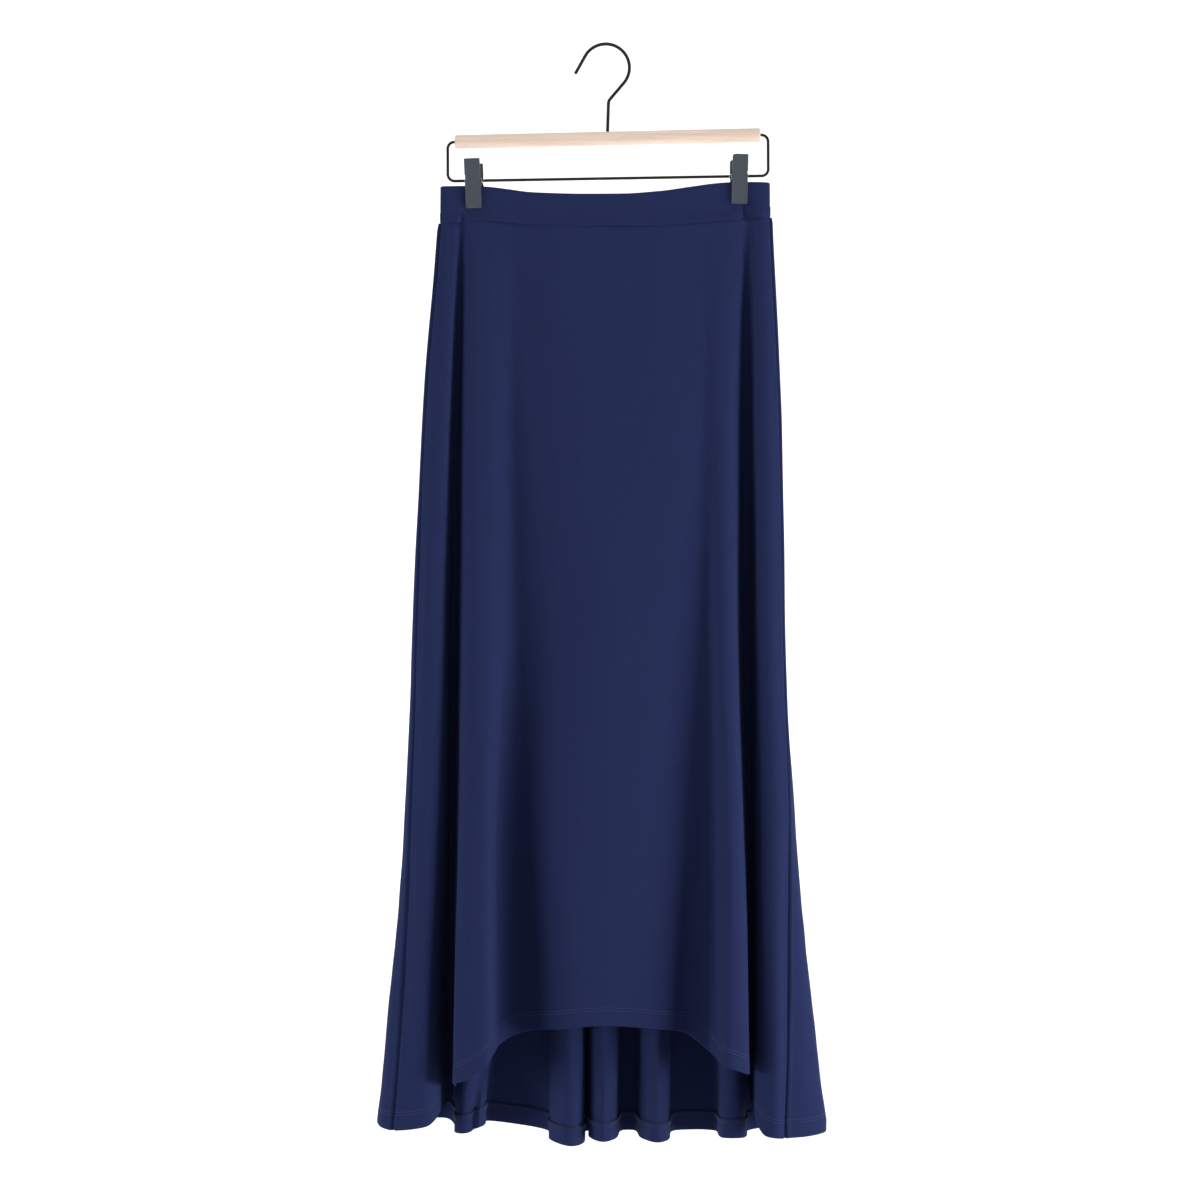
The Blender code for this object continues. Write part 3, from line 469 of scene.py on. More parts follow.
def panel_rows(top, edge, steep):
    """Heights of the rows of one panel, from the waist seam down round the folded hem and up inside,
    with how far each lies in from the outer layer and how far it is above the folded edge."""
    near_top = np.array([0.0, 0.8, 1.6, 2.6, 4.0, 6.0, 9.0, 13.0])
    near_hem = np.arange(24.0, 1.0, -1.0)
    turn = np.linspace(0, math.pi, 7)
    inside = np.array([1.8, 3, 6, 9, 12, 14, 15.2, 16, 17.5, 19, HEM_DEEP])
    low = CLOTH / 2 + HEM_BEND
    above = np.concatenate([near_hem, low - HEM_BEND * np.sin(turn), inside])
    inward = np.concatenate([0 * near_hem, HEM_BEND * (1 - np.cos(turn)), 0 * inside + 2 * HEM_BEND])
    middle = np.linspace(1, 0, 136)[1:-1, None]
    high, low_end = top - near_top[-1], edge + steep * near_hem[0]
    heights = np.concatenate(
        [top - near_top[:, None], low_end + (high - low_end) * middle, edge + steep * above[:, None]]
    )
    rows = len(heights) - len(above)
    return heights, np.concatenate([np.zeros(rows), inward])[:, None], (heights - edge) / steep


def hem_slant(along):
    """Height of the hem's edge, and how much longer the way down to it is than the way square to it."""
    ring = on_ring(along, np.full((1, len(along)), HEIGHTS[-1]))[0]
    run = np.concatenate([[0.0], np.cumsum(np.linalg.norm(np.diff(ring[:, :2], axis=0), axis=-1))])
    slant = np.sqrt(1 + np.gradient(ring[:, 2], run) ** 2)
    soft = np.convolve(np.pad(slant, 4, mode="edge"), np.ones(9) / 9, mode="valid")
    return ring[:, 2], np.minimum(soft, 1.6)


def relief(name, sideways, across, heights, under_seam, above_hem, from_side, seed):
    """How far the cloth stands out from the fold lines' smooth surface: seams, rows of stitches,
    creases and its own soft unevenness."""
    calm = eased(under_seam / CALM)
    out = -creased(name, sideways, heights)
    out += calm * (bumps(WAVES[0], across, heights, seed) + bumps(WAVES[1], across, heights, seed + 1))
    out += bumps(PUCKERS, across, heights, seed + 2) * np.exp(-under_seam / PUCKERS_REACH)
    out -= groove(WAIST_GROOVE, under_seam) + groove(SIDE_GROOVE, from_side)
    out += groove(SIDE_RIDGE, from_side - SIDE_RIDGE_IN) * eased(under_seam / 8.0)
    out += HEM_STEP * eased((HEM_DEEP + 1.0 - above_hem) / 1.6)
    for row in HEM_ROWS:
        out -= groove(STITCH_GROOVE, above_hem - row)
    ripples = bumps(HEM_RIPPLES, across, heights, seed + 3)
    return out + ripples * hump(above_hem - HEM_RIPPLES_REACH, HEM_RIPPLES_REACH)


def hem_line(panel, above, outwards):
    """Points of one panel, a steady way above its folded edge and out from its outer layer."""
    middles, facing, above_hem = panel["middles"], panel["facing"], panel["above_hem"]
    rows = panel["outer_rows"]
    line = []
    for column in range(middles.shape[1]):
        heights = above_hem[:rows, column]
        order = np.argsort(heights)
        place = [np.interp(above, heights[order], middles[:rows, column, k][order]) for k in range(3)]
        line.append(np.array(place) + facing[rows - 1, column] * outwards)
    return np.array(line)


def skirt_panel(name, first, last, centre, gap, look, seed):
    along = spread(first, last, gap)
    edge, steep = hem_slant(along)
    waist = on_ring(along, np.full((1, len(along)), HEIGHTS[0]))[0]
    top = band_line(waist[:, 0], SEAM) - SEAM_GAP
    heights, inward, above_hem = panel_rows(top, edge, steep)
    base = cloth_at(along, heights)
    facing = outward(along, heights)
    column = int(np.argmin(np.abs(along - [row[0] for row in FOLDS].index(centre))))
    run = np.linalg.norm(np.diff(base, axis=1), axis=-1)
    run = np.concatenate([np.zeros((len(base), 1)), np.cumsum(run, axis=1)], axis=1)
    across = run - run[:, column : column + 1]
    from_side = np.minimum(run, run[:, -1:] - run)
    out = relief(name, base[..., 0], across, heights, top - heights, above_hem, from_side, seed)
    middles = base + facing * (out - inward)[..., None]
    points, faces, flat = sheet(middles, CLOTH, column)
    made = {"middles": middles, "facing": facing, "above_hem": above_hem}
    made["outer_rows"] = int(np.argmax(inward[:, 0] > 0))
    return new_piece(name, look, points, faces, flat), made


def waistband(look):
    along = spread(0, len(FOLDS), 1.7)[:-1]
    ring = on_ring(along, np.full((1, len(along)), HEIGHTS[0]))[0]
    sideways, forward = ring[:, 0], ring[:, 1]
    inner = np.concatenate([np.linspace(1, 0.06, 12), [0.03]])
    turn = np.linspace(math.pi, 0, 9)
    outer = np.concatenate([[0.03], np.linspace(0.06, 0.9, 26), [0.93, 0.955, 0.975, 0.99, 1.0]])
    share = np.concatenate([inner, 0 * turn, outer])[:, None]
    offset = np.concatenate([0 * inner - BAND_HALF, BAND_HALF * np.cos(turn), 0 * outer + BAND_HALF])
    rise = np.concatenate([0 * inner, BAND_HALF * np.sin(turn), 0 * outer])
    top, foot = band_line(sideways, TOP), band_line(sideways, SEAM)
    pinched = np.where(forward >= 0, band_line(sideways, FRONT_TOP), band_line(sideways, BACK_TOP))
    swell = eased((share - BAND_SWELLS) / (1 - BAND_SWELLS))
    narrow = 1 - BAND_IN[0] + (BAND_IN[0] - BAND_IN[1]) * share
    heights = top + (foot - top) * share
    # the back layer stands a little higher than the front beside the right clip
    proud = groove(BAND_PROUD[::2], sideways - BAND_PROUD[1]) * (forward < 0) * (1 - share)
    base = np.stack([sideways * narrow, -(pinched + (forward - pinched) * swell), heights + proud], -1)
    across = np.roll(base, -1, axis=1) - np.roll(base, 1, axis=1)
    across[..., 2] = 0
    facing = normalised(np.cross((0.0, 0.0, -1.0), across))
    run = np.cumsum(np.linalg.norm(across, axis=-1), axis=1) / 2
    out = offset[:, None] - creased("waistband", base[..., 0], heights) * (offset[:, None] > 0)
    out -= np.sign(offset)[:, None] * groove(BAND_GROOVE, (1 - share) * BAND_HIGH)
    free = eased((np.abs(np.abs(sideways) - CLIPPED[0]) - CLIPPED[1]) / CLIPPED[1])
    out += free * bumps(BAND_WAVES, run, heights, 31) * eased(share * 3)
    out += bumps(BAND_PUCKERS, run, heights, 32) * eased((share - 0.7) * 4)
    middles = base + facing * out[..., None]
    middles[..., 2] += rise[:, None]
    points, faces, flat = sheet(middles, BAND_LAYER, 0, closed=True)
    return new_piece("waistband", look, points, faces, flat)


# ---- the hanger


def ringed(rings, poles=True):
    """Points and faces of a closed tube through rings of points, closed at both ends by a point."""
    count, sides = rings.shape[:2]
    number = np.arange(count * sides).reshape(count, sides)
    number = np.concatenate([number, number[:, :1]], axis=1)
    a, b, c, d = number[:-1, :-1], number[:-1, 1:], number[1:, 1:], number[1:, :-1]
    faces = np.stack([a, b, c, d], -1).reshape(-1, 4).tolist()
    points = rings.reshape(-1, 3)
    start, end = len(points), len(points) + 1
    points = np.concatenate([points, rings[:1].mean(axis=1), rings[-1:].mean(axis=1)])
    faces += [(start, number[0, k + 1], number[0, k]) for k in range(sides)]
    faces += [(end, number[-1, k], number[-1, k + 1]) for k in range(sides)]
    return points, faces


def wire(path, radius, sides):
    """A round wire along a path, with domed ends."""
    path = np.array(path, float)
    ways = normalised(np.gradient(path, axis=0))
    dome = np.radians([75.0, 50.0, 25.0])
    radii = np.concatenate([np.cos(dome), np.ones(len(path)), np.cos(dome[::-1])]) * radius
    first = path[0] - ways[0] * np.sin(dome)[:, None] * radius
    last = path[-1] + ways[-1] * np.sin(dome[::-1])[:, None] * radius
    path = np.concatenate([first, path, last])
    ways = np.concatenate([ways[:1].repeat(3, 0), ways, ways[-1:].repeat(3, 0)])
    aside = np.array([0.0, 1.0, 0.0]) if abs(ways[0][1]) < 0.9 else np.array([1.0, 0.0, 0.0])
    turn = np.linspace(0, 2 * math.pi, sides, endpoint=False)
    rings = []
    for place, way, size in zip(path, ways, radii):
        aside = normalised(aside - way * (aside @ way))
        up = np.cross(way, aside)
        rings.append(place + size * (np.cos(turn)[:, None] * aside + np.sin(turn)[:, None] * up))
    return ringed(np.array(rings))


def spot(sideways, height):
    return Vector((sideways, 0, height))


def rounded_path(corners, radius, steps, gap=6.0):
    """Straight runs with an arc of one radius at each corner."""
    path = [corners[0]]
    for before, corner, after in zip(corners, corners[1:], corners[2:]):
        back, on = (before - corner).normalized(), (after - corner).normalized()
        half = back.angle(on) / 2
        reach = radius / math.tan(half)
        centre = corner + (back + on).normalized() * (radius / math.sin(half))
        start, end = corner + back * reach - centre, corner + on * reach - centre
        path += [centre + start.slerp(end, k / steps).normalized() * radius for k in range(steps + 1)]
    path.append(corners[-1])
    dense = [path[0]]
    for place in path[1:]:
        runs = max(1, round((place - dense[-1]).length / gap))
        last = dense[-1]
        dense += [last.lerp(place, (k + 1) / runs) for k in range(runs)]
    return dense


def hanger_hook(look):
    centre = spot(0, -(HOOK_RADIUS - HOOK_WIRE / 2))
    turns = np.radians(np.linspace(*HOOK_ARC, 97))
    arc = [centre + Vector((math.cos(t), 0, math.sin(t))) * HOOK_RADIUS for t in turns]
    tip = arc[0] + spot(*HOOK_TIP)
    neck = rounded_path([arc[-1], spot(*NECK_BEND), spot(*NECK_FOOT)], NECK_RADIUS, 12)
    points, faces = wire([tip.lerp(arc[0], k / 6) for k in range(6)] + arc + neck[1:], HOOK_WIRE / 2, 28)
    return new_piece("hanger_hook_wire", look, points, faces)


def hanger_frame(look):
    left, right = spot(*DOWEL_ENDS[0]), spot(*DOWEL_ENDS[1])
    way = (right - left).normalized()
    bends = [spot(*p) for p in (FRAME_TOPS[0], *FRAME_FEET, FRAME_TOPS[1])]
    corners = [left + way * FRAME_IN_BORE, *bends, right - way * FRAME_IN_BORE]
    points, faces = wire(rounded_path(corners, FRAME_BEND, 14), WIRE / 2, 24)
    return new_piece("hanger_frame_wire", look, points, faces)


def hanger_dowel(look):
    """The turned rod, with softened rims and a bore at each end for the frame's wire."""
    left, right = (np.array(spot(*p)) for p in DOWEL_ENDS)
    way = normalised(right - left)
    half = np.linalg.norm(right - left) / 2
    bore, radius, rim, foot = WIRE / 2 + BORE_PLAY, DOWEL / 2, DOWEL_RIM, half - END_BORE
    turn = np.radians(np.linspace(0, 90, 6))
    outline = [(foot, 0.1), (foot, bore), (half - 0.2, bore), (half, bore + 0.3)]
    outline += [(half - rim + rim * math.cos(t), radius - rim + rim * math.sin(t)) for t in turn]
    outline += [(half * share, radius) for share in np.linspace(0.98, 0, 20, endpoint=False)]
    outline += [(-along, away) for along, away in reversed(outline)]
    aside, spin = np.array([0.0, 1.0, 0.0]), np.linspace(0, 2 * math.pi, 64, endpoint=False)
    up = np.cross(way, aside)
    circle = np.cos(spin)[:, None] * aside + np.sin(spin)[:, None] * up
    rings = np.array([(left + right) / 2 + way * along + circle * away for along, away in outline])
    points, faces = ringed(rings[::-1])
    return new_piece("hanger_rod", look, points, faces)


def jaw_section(inner, outer, left, right, deep, edge):
    """A jaw's outline at one height, seen from above: flat faces, rounded edges, and a shallow panel
    sunk into the outer face."""
    turn = np.radians(np.linspace(0, 90, 4))
    spots = []
    for x, y, start in ((right, inner, -90), (right, outer, 0), (left, outer, 90), (left, inner, 180)):
        cx = x - edge if x == right else x + edge
        cy = y + edge if y == inner else y - edge
        angles = np.radians(start) + turn
        spots += [(cx + edge * math.cos(a), cy + edge * math.sin(a)) for a in angles]
        if x == right and y == outer:
            for share in np.linspace(0, 1, 25)[1:-1]:
                across = (right - edge) + (left - right + 2 * edge) * share
                rim = min(across - left, right - across)
                spots.append((across, outer - deep * float(eased((rim - PANEL_RIM) / 0.5))))
    return spots


def clip_jaw(name, side, sideways, height, lean, corners, look):
    """One jaw of a pinch clip: a flat plate with rounded corners, and two lugs that hold the bar."""
    top, foot = JAW_LINES[0, 0], JAW_LINES[-1, 0]
    ends = np.radians(np.linspace(0, 90, 6))
    heights = np.concatenate(
        [
            top - JAW_ROUND * (1 - np.sin(ends[::-1])),
            np.linspace(top - 0.9, top - 3.4, 7),
            np.linspace(top - 4.0, foot + 4.0, 84),
            np.linspace(foot + 3.4, foot + 0.9, 7),
            foot + JAW_ROUND * (1 - np.sin(ends)),
        ]
    )
    level, inner, outer, half = JAW_LINES[::-1].T
    rings = []
    for z in heights:
        width = np.interp(z, level, half)
        shrink = 0.0
        for end in (top - z, z - foot):
            if end < JAW_ROUND:
                shrink = JAW_ROUND - math.sqrt(max(JAW_ROUND**2 - (JAW_ROUND - end) ** 2, 0.0))
        cut = []
        for radius, end in zip(corners, (top - z, top - z, z - foot, z - foot)):
            inside = max(0.0, radius - end)
            cut.append(radius - math.sqrt(max(radius**2 - inside**2, 0.0)))
        left = -width + max(cut[0], cut[2]) + shrink
        right = width - max(cut[1], cut[3]) - shrink
        near, far = np.interp(z, level, inner) + shrink * 0.6, np.interp(z, level, outer) - shrink * 0.6
        deep = PANEL_DEEP * float(eased((z - foot - 1.4) / 0.5) * eased((-1.0 - z) / 0.6))
        section = jaw_section(near, far, left, right, deep, JAW_EDGE)
        rings.append([(x, -side * y, z) for x, y in section])
    rings = np.array(rings)
    parts = [ringed(rings if side > 0 else rings[::-1])]
    turn = np.linspace(0, 2 * math.pi, 28, endpoint=False)
    for x in LUGS[side]:
        profile = []
        for across, size in LUG_LINES:
            ahead = -side * (LUG_MIDDLE[0] + size * np.cos(turn))
            above = LUG_MIDDLE[1] + size * np.sin(turn)
            profile.append(np.stack([0 * turn + across + x, ahead, above], -1))
        profile = np.array(profile)
        parts.append(ringed(profile if side > 0 else profile[::-1]))
    points, faces = joined(parts)
    tilt = math.radians(-lean)
    x, z = points[:, 0].copy(), points[:, 2].copy()
    points[:, 0] = x * math.cos(tilt) + z * math.sin(tilt) + sideways
    points[:, 2] = z * math.cos(tilt) - x * math.sin(tilt) + height
    return new_piece(name, look, points, faces, sharp=40.0)


def clip_spring(name, sideways, look):
    """The coil on the bar, between the jaws."""
    left, right = (np.array(spot(*p)) for p in FRAME_FEET)
    way = normalised(right - left)
    middle = left + way * ((sideways - left[0]) / way[0])
    radius = WIRE / 2 + BORE_PLAY + SPRING_WIRE / 2
    up = np.cross(way, (0.0, -1.0, 0.0))
    turn = np.linspace(0, 2 * math.pi * SPRING_TURNS, SPRING_TURNS * 20)
    share = turn / turn[-1] - 0.5
    coil = middle + np.outer(share * (SPRING_LONG - SPRING_WIRE), way)
    coil = coil + radius * (np.outer(np.cos(turn), (0.0, -1.0, 0.0)) + np.outer(np.sin(turn), up))
    points, faces = wire(coil, SPRING_WIRE / 2, 10)
    return new_piece(name, look, points, faces)


# ---- node trees


class Socket:
    """One output of a node. Sums on it add Math nodes, so a formula reads as it is written."""

    def __init__(self, tree, link):
        self.tree, self.link = tree, link

    def math(self, operation, *values):
        return add_node(self.tree, "ShaderNodeMath", {"operation": operation}, dict(enumerate(values)))

    def __add__(self, other):
        return self.math("ADD", self, other)

    def __sub__(self, other):
        return self.math("SUBTRACT", self, other)

    def __rsub__(self, other):
        return self.math("SUBTRACT", other, self)

    def __mul__(self, other):
        return self.math("MULTIPLY", self, other)

    def __truediv__(self, other):
        return self.math("DIVIDE", self, other)

    def __abs__(self):
        return self.math("ABSOLUTE", self)

    def __pow__(self, other):
        return self.math("POWER", self, other)

    __radd__, __rmul__ = __add__, __mul__

    def sine(self):
        return self.math("SINE", self)

    def fraction(self):
        return self.math("FRACT", self)

    def smooth(self, low, high):
        """0 below low, 1 above high, eased between."""
        values = {"Value": self, "From Min": low, "From Max": high}
        return add_node(self.tree, "ShaderNodeMapRange", {"interpolation_type": "SMOOTHSTEP"}, values)


def add_node(tree, kind, settings=None, values=None, output=0):
    """A new node: its settings first, then the values or links of its inputs. Gives back one output."""
    made = tree.nodes.new(kind)
    for key, value in (settings or {}).items():
        setattr(made, key, value)
    for key, value in (values or {}).items():
        if isinstance(value, Socket):
            tree.links.new(value.link, made.inputs[key])
        else:
            made.inputs[key].default_value = value
    return Socket(tree, made.outputs[output])


def blend(tree, factor, first, second):
    """One colour into another by a factor."""
    values = {"Factor": factor, 6: first, 7: second}
    return add_node(tree, "ShaderNodeMix", {"data_type": "RGBA"}, values, 2)


def color(red, green, blue):
    return (red, green, blue, 1.0)


def new_look(name, **constants):
    """A material, its node tree, and a call that links colour, roughness and relief to its shader."""
    look = bpy.data.materials.new(name)
    look.use_nodes = True
    tree = look.node_tree
    shader = tree.nodes["Principled BSDF"]
    for key, value in constants.items():
        shader.inputs[key.replace("_", " ")].default_value = value

    def finish(**links):
        for key, value in links.items():
            tree.links.new(value.link, shader.inputs[key.replace("_", " ")])

    return look, tree, finish


def noise(tree, place, scale, detail=2.0, rough=0.5):
    values = {"Vector": place, "Scale": scale, "Detail": detail, "Roughness": rough}
    return add_node(tree, "ShaderNodeTexNoise", {}, values)


def stretched(tree, place, scale):
    return add_node(tree, "ShaderNodeVectorMath", {"operation": "MULTIPLY"}, {0: place, 1: scale})


def relief_of(tree, height, distance, strength=1.0):
    given = {"Height": height, "Distance": distance, "Strength": strength}
    return add_node(tree, "ShaderNodeBump", {}, given)


# ---- finishes

NAVY = (0.0160, 0.0246, 0.0895)
SKIRT_KNIT = (0.0011, 0.0008)  # width and height of one stitch, m
BAND_KNIT = (0.00095, 0.0007)


def jersey(name, shade, wale, course):
    """Fine knit: columns of v-shaped loops with painted highlights, and the slight unevenness of its dyed
    yarn.
    """
    look, tree, finish = new_look(
        name,
        Sheen_Weight=0.05,
        Sheen_Roughness=0.4,
        Sheen_Tint=color(0.35, 0.5, 1.0),
        Specular_IOR_Level=0.12,
    )
    flat = add_node(tree, "ShaderNodeUVMap", {"uv_map": "cloth"})
    across = add_node(tree, "ShaderNodeSeparateXYZ", {}, {"Vector": flat}, 0)
    down = add_node(tree, "ShaderNodeSeparateXYZ", {}, {"Vector": flat}, 1)
    side = abs((across / wale).fraction() - 0.5) * 2
    leg = 1 - (side * 2 - 1) ** 2
    loop = ((down / course + side * 0.8).fraction() * math.pi).sine()
    knit = leg * loop
    streaks = noise(tree, stretched(tree, flat, (420.0, 26.0, 1.0)), 1.0, 3.0)
    rows = noise(tree, stretched(tree, flat, (14.0, 330.0, 1.0)), 1.0, 2.0)
    clouds = noise(tree, flat, 14.0, 3.0)
    lightness = streaks * 0.5 + rows * 0.25 + clouds * 0.25
    dark, light, lit = (color(*(share * part for part in shade)) for share in (0.93, 1.07, 1.5))
    yarn = blend(tree, lightness.smooth(0.25, 0.75), dark, light)
    # the loops' crests are painted a little lighter: a painted highlight on the knit, not a colour of the
    # yarn
    yarn = blend(tree, knit * 0.10, yarn, lit)
    relief = relief_of(tree, knit + streaks * 0.5, 0.00012, 0.6)
    finish(Base_Color=yarn, Roughness=0.84 + clouds * 0.1, Normal=relief)
    return look


def sewing_thread():
    look, tree, finish = new_look("navy_thread", Sheen_Weight=0.2, Sheen_Roughness=0.35)
    place = add_node(tree, "ShaderNodeTexCoord", {}, output=3)
    twist = noise(tree, place, 2600.0, 1.0)
    shade = blend(tree, twist, color(0.020, 0.030, 0.088), color(0.034, 0.048, 0.125))
    finish(Base_Color=shade, Roughness=0.5 + twist * 0.15, Normal=relief_of(tree, twist, 0.00008))
    return look


def beech():
    """Sanded pale beech: soft grain along the rod, with the short darker flecks of the wood."""
    sheen = {"Specular_IOR_Level": 0.35, "Coat_Weight": 0.12, "Coat_Roughness": 0.35}
    look, tree, finish = new_look("pale_beech", **sheen)
    place = add_node(tree, "ShaderNodeTexCoord", {}, output=3)
    grain = noise(tree, stretched(tree, place, (7.0, 330.0, 330.0)), 1.0, 5.0, 0.62)
    bands = noise(tree, stretched(tree, place, (3.0, 90.0, 90.0)), 1.0, 2.0)
    specks = noise(tree, stretched(tree, place, (110.0, 1500.0, 1500.0)), 1.0, 1.0)
    flecks = specks.smooth(0.62, 0.72)
    pale = (grain * 0.6 + bands * 0.4).smooth(0.3, 0.7)
    tone = blend(tree, pale, color(0.79, 0.575, 0.45), color(0.935, 0.76, 0.65))
    tone = blend(tree, flecks * 0.4, tone, color(0.66, 0.45, 0.33))
    relief = relief_of(tree, grain + flecks * -0.6, 0.00010)
    finish(Base_Color=tone, Roughness=0.5 + grain * 0.16, Normal=relief)
    return look


def painted_wire():
    """Wire under a thin black coat that has a few duller and slightly rubbed places."""
    look, tree, finish = new_look("black_wire", Specular_IOR_Level=0.05)
    place = add_node(tree, "ShaderNodeTexCoord", {}, output=3)
    skin = noise(tree, place, 900.0, 3.0)
    rubbed = noise(tree, place, 60.0, 4.0).smooth(0.62, 0.78)
    shade = blend(tree, skin, color(0.020, 0.020, 0.021), color(0.032, 0.032, 0.033))
    shade = blend(tree, rubbed * 0.5, shade, color(0.060, 0.058, 0.055))
    finish(Base_Color=shade, Roughness=0.5 + skin * 0.16, Normal=relief_of(tree, skin, 0.00005))
    return look


def moulded_plastic():
    """Slate-grey moulded plastic with a fine spark-eroded texture."""
    look, tree, finish = new_look("slate_plastic", Specular_IOR_Level=0.45)
    place = add_node(tree, "ShaderNodeTexCoord", {}, output=3)
    pits = noise(tree, place, 1800.0, 2.0)
    cloud = noise(tree, place, 120.0, 3.0)
    shade = blend(tree, cloud, color(0.058, 0.069, 0.085), color(0.074, 0.087, 0.106))
    finish(Base_Color=shade, Roughness=0.42 + pits * 0.2, Normal=relief_of(tree, pits, 0.00012))
    return look


def spring_steel():
    look, tree, finish = new_look("spring_steel", Metallic=1.0)
    place = add_node(tree, "ShaderNodeTexCoord", {}, output=3)
    drawn = noise(tree, place, 1500.0, 3.0)
    shade = blend(tree, drawn, color(0.55, 0.55, 0.56), color(0.75, 0.75, 0.76))
    finish(Base_Color=shade, Roughness=0.22 + drawn * 0.15, Normal=relief_of(tree, drawn, 0.00003))
    return look


# ---- sewing, made by geometry nodes


def new_group(name, inputs):
    tree = bpy.data.node_groups.new(name, "GeometryNodeTree")
    tree.interface.new_socket(name="Line", in_out="INPUT", socket_type="NodeSocketGeometry")
    for title, kind in inputs:
        tree.interface.new_socket(name=title, in_out="INPUT", socket_type=kind)
    tree.interface.new_socket(name="Sewing", in_out="OUTPUT", socket_type="NodeSocketGeometry")
    start = tree.nodes.new("NodeGroupInput")
    return tree, {socket.name: Socket(tree, socket) for socket in start.outputs if socket.name}


def close_group(tree, shape, look):
    whole = add_node(tree, "GeometryNodeRealizeInstances", {}, {"Geometry": shape})
    dyed = add_node(tree, "GeometryNodeSetMaterial", {}, {"Geometry": whole, "Material": look})
    end = tree.nodes.new("NodeGroupOutput")
    tree.links.new(dyed.link, end.inputs[0])
    return tree


def stitch_row_group():
    """A row of short raised stitches along a line, each laid flat on the cloth."""
    inputs = (
        ("Pitch", "NodeSocketFloat"),
        ("Stitch", "NodeSocketVector"),
        ("Thread", "NodeSocketMaterial"),
    )
    tree, given = new_group("stitch_row", inputs)
    line = add_node(tree, "GeometryNodeMeshToCurve", {}, {"Mesh": given["Line"]})
    spaced = {"Curve": line, "Length": given["Pitch"]}
    line = add_node(tree, "GeometryNodeResampleCurve", {"mode": "LENGTH"}, spaced)
    kind = {"data_type": "FLOAT_VECTOR"}
    facing = add_node(tree, "GeometryNodeInputNamedAttribute", kind, {"Name": "facing"})
    tangent = add_node(tree, "GeometryNodeInputTangent")
    turn = add_node(tree, "FunctionNodeAlignRotationToVector", {"axis": "X"}, {"Vector": tangent})
    turn = add_node(
        tree,
        "FunctionNodeAlignRotationToVector",
        {"axis": "Z", "pivot_axis": "X"},
        {"Rotation": turn, "Vector": facing},
    )
    bead = add_node(tree, "GeometryNodeMeshUVSphere", {}, {"Segments": 6, "Rings": 4, "Radius": 0.5})
    bead = add_node(tree, "GeometryNodeTransform", {}, {"Geometry": bead, "Scale": given["Stitch"]})
    smooth = add_node(tree, "GeometryNodeSetShadeSmooth", {}, {"Geometry": bead})
    row = add_node(
        tree, "GeometryNodeInstanceOnPoints", {}, {"Points": line, "Instance": smooth, "Rotation": turn}
    )
    return close_group(tree, row, given["Thread"])


def laid_thread_group():
    """A thread laid along a line, as on the looped side of a cover stitch."""
    inputs = (("Radius", "NodeSocketFloat"), ("Thread", "NodeSocketMaterial"))
    tree, given = new_group("laid_thread", inputs)
    line = add_node(tree, "GeometryNodeMeshToCurve", {}, {"Mesh": given["Line"]})
    round_it = {"Resolution": 5, "Radius": given["Radius"]}
    ring = add_node(tree, "GeometryNodeCurvePrimitiveCircle", {}, round_it)
    thread = add_node(
        tree, "GeometryNodeCurveToMesh", {}, {"Curve": line, "Profile Curve": ring, "Fill Caps": True}
    )
    smooth = add_node(tree, "GeometryNodeSetShadeSmooth", {}, {"Geometry": thread})
    return close_group(tree, smooth, given["Thread"])


def sewn(name, group, lines, settings):
    """Runs a sewing group along lines of (points, facing) in mm, and gives back its plain mesh."""
    points = np.concatenate([line for line, _ in lines]) * MM
    facing = np.concatenate([way for _, way in lines])
    edges, first = [], 0
    for line, _ in lines:
        edges += [(first + k, first + k + 1) for k in range(len(line) - 1)]
        first += len(line)
    mesh = bpy.data.meshes.new(name + "_line")
    mesh.from_pydata(points.tolist(), edges, [])
    mesh.attributes.new("facing", "FLOAT_VECTOR", "POINT").data.foreach_set("vector", facing.ravel())
    guide = bpy.data.objects.new(name + "_line", mesh)
    bpy.context.scene.collection.objects.link(guide)
    sewing = guide.modifiers.new("sewing", "NODES")
    sewing.node_group = group
    for item in group.interface.items_tree:
        if item.in_out == "INPUT" and item.name in settings:
            sewing[item.identifier] = settings[item.name]
    bpy.context.view_layer.update()
    made = bpy.data.meshes.new_from_object(guide.evaluated_get(bpy.context.evaluated_depsgraph_get()))
    guide.modifiers.remove(sewing)
    bpy.data.objects.remove(guide)
    made.name = name
    piece = bpy.data.objects.new(name, made)
    bpy.context.scene.collection.objects.link(piece)
    return piece


def zigzag(low, high, pitch):
    """A line that runs back and forth between two lines, as a cover stitch's looper thread does."""
    run = np.concatenate([[0.0], np.cumsum(np.linalg.norm(np.diff(low, axis=0), axis=-1))])
    steps = np.arange(0.0, run[-1], pitch / 4)
    side = np.array([0.0, 0.5, 1.0, 0.5])[np.arange(len(steps)) % 4][:, None]
    on = [np.stack([np.interp(steps, run, edge[:, k]) for k in range(3)], -1) for edge in (low, high)]
    return on[0] * (1 - side) + on[1] * side


# ---- studio


def aim(thing, target):
    thing.rotation_euler = (Vector(target) - thing.location).to_track_quat("-Z", "Y").to_euler()


def soft_light(name, place, target, size, power):
    lamp = bpy.data.lights.new(name, "AREA")
    lamp.shape, lamp.size, lamp.energy = "SQUARE", size, power
    box = bpy.data.objects.new(name, lamp)
    bpy.context.scene.collection.objects.link(box)
    box.location = place
    aim(box, target)
    box.visible_camera = False


FLOOR, BACKDROP, TOP_OF_BACKDROP = -1.35, 3.6, 2.4  # heights and distance, m
FLOOR_HALF, BACKDROP_HALF = 6.0, 2.4
SURROUND = 0.21  # strength of the light from all round
GLOW = 0.75  # the boards' own light
NEAR_GLOW = 0.12  # how much of it the floor keeps towards the camera
MIDDLE, HANGER = (0.0, 0.0, -0.75), (0.0, 0.0, -0.1)
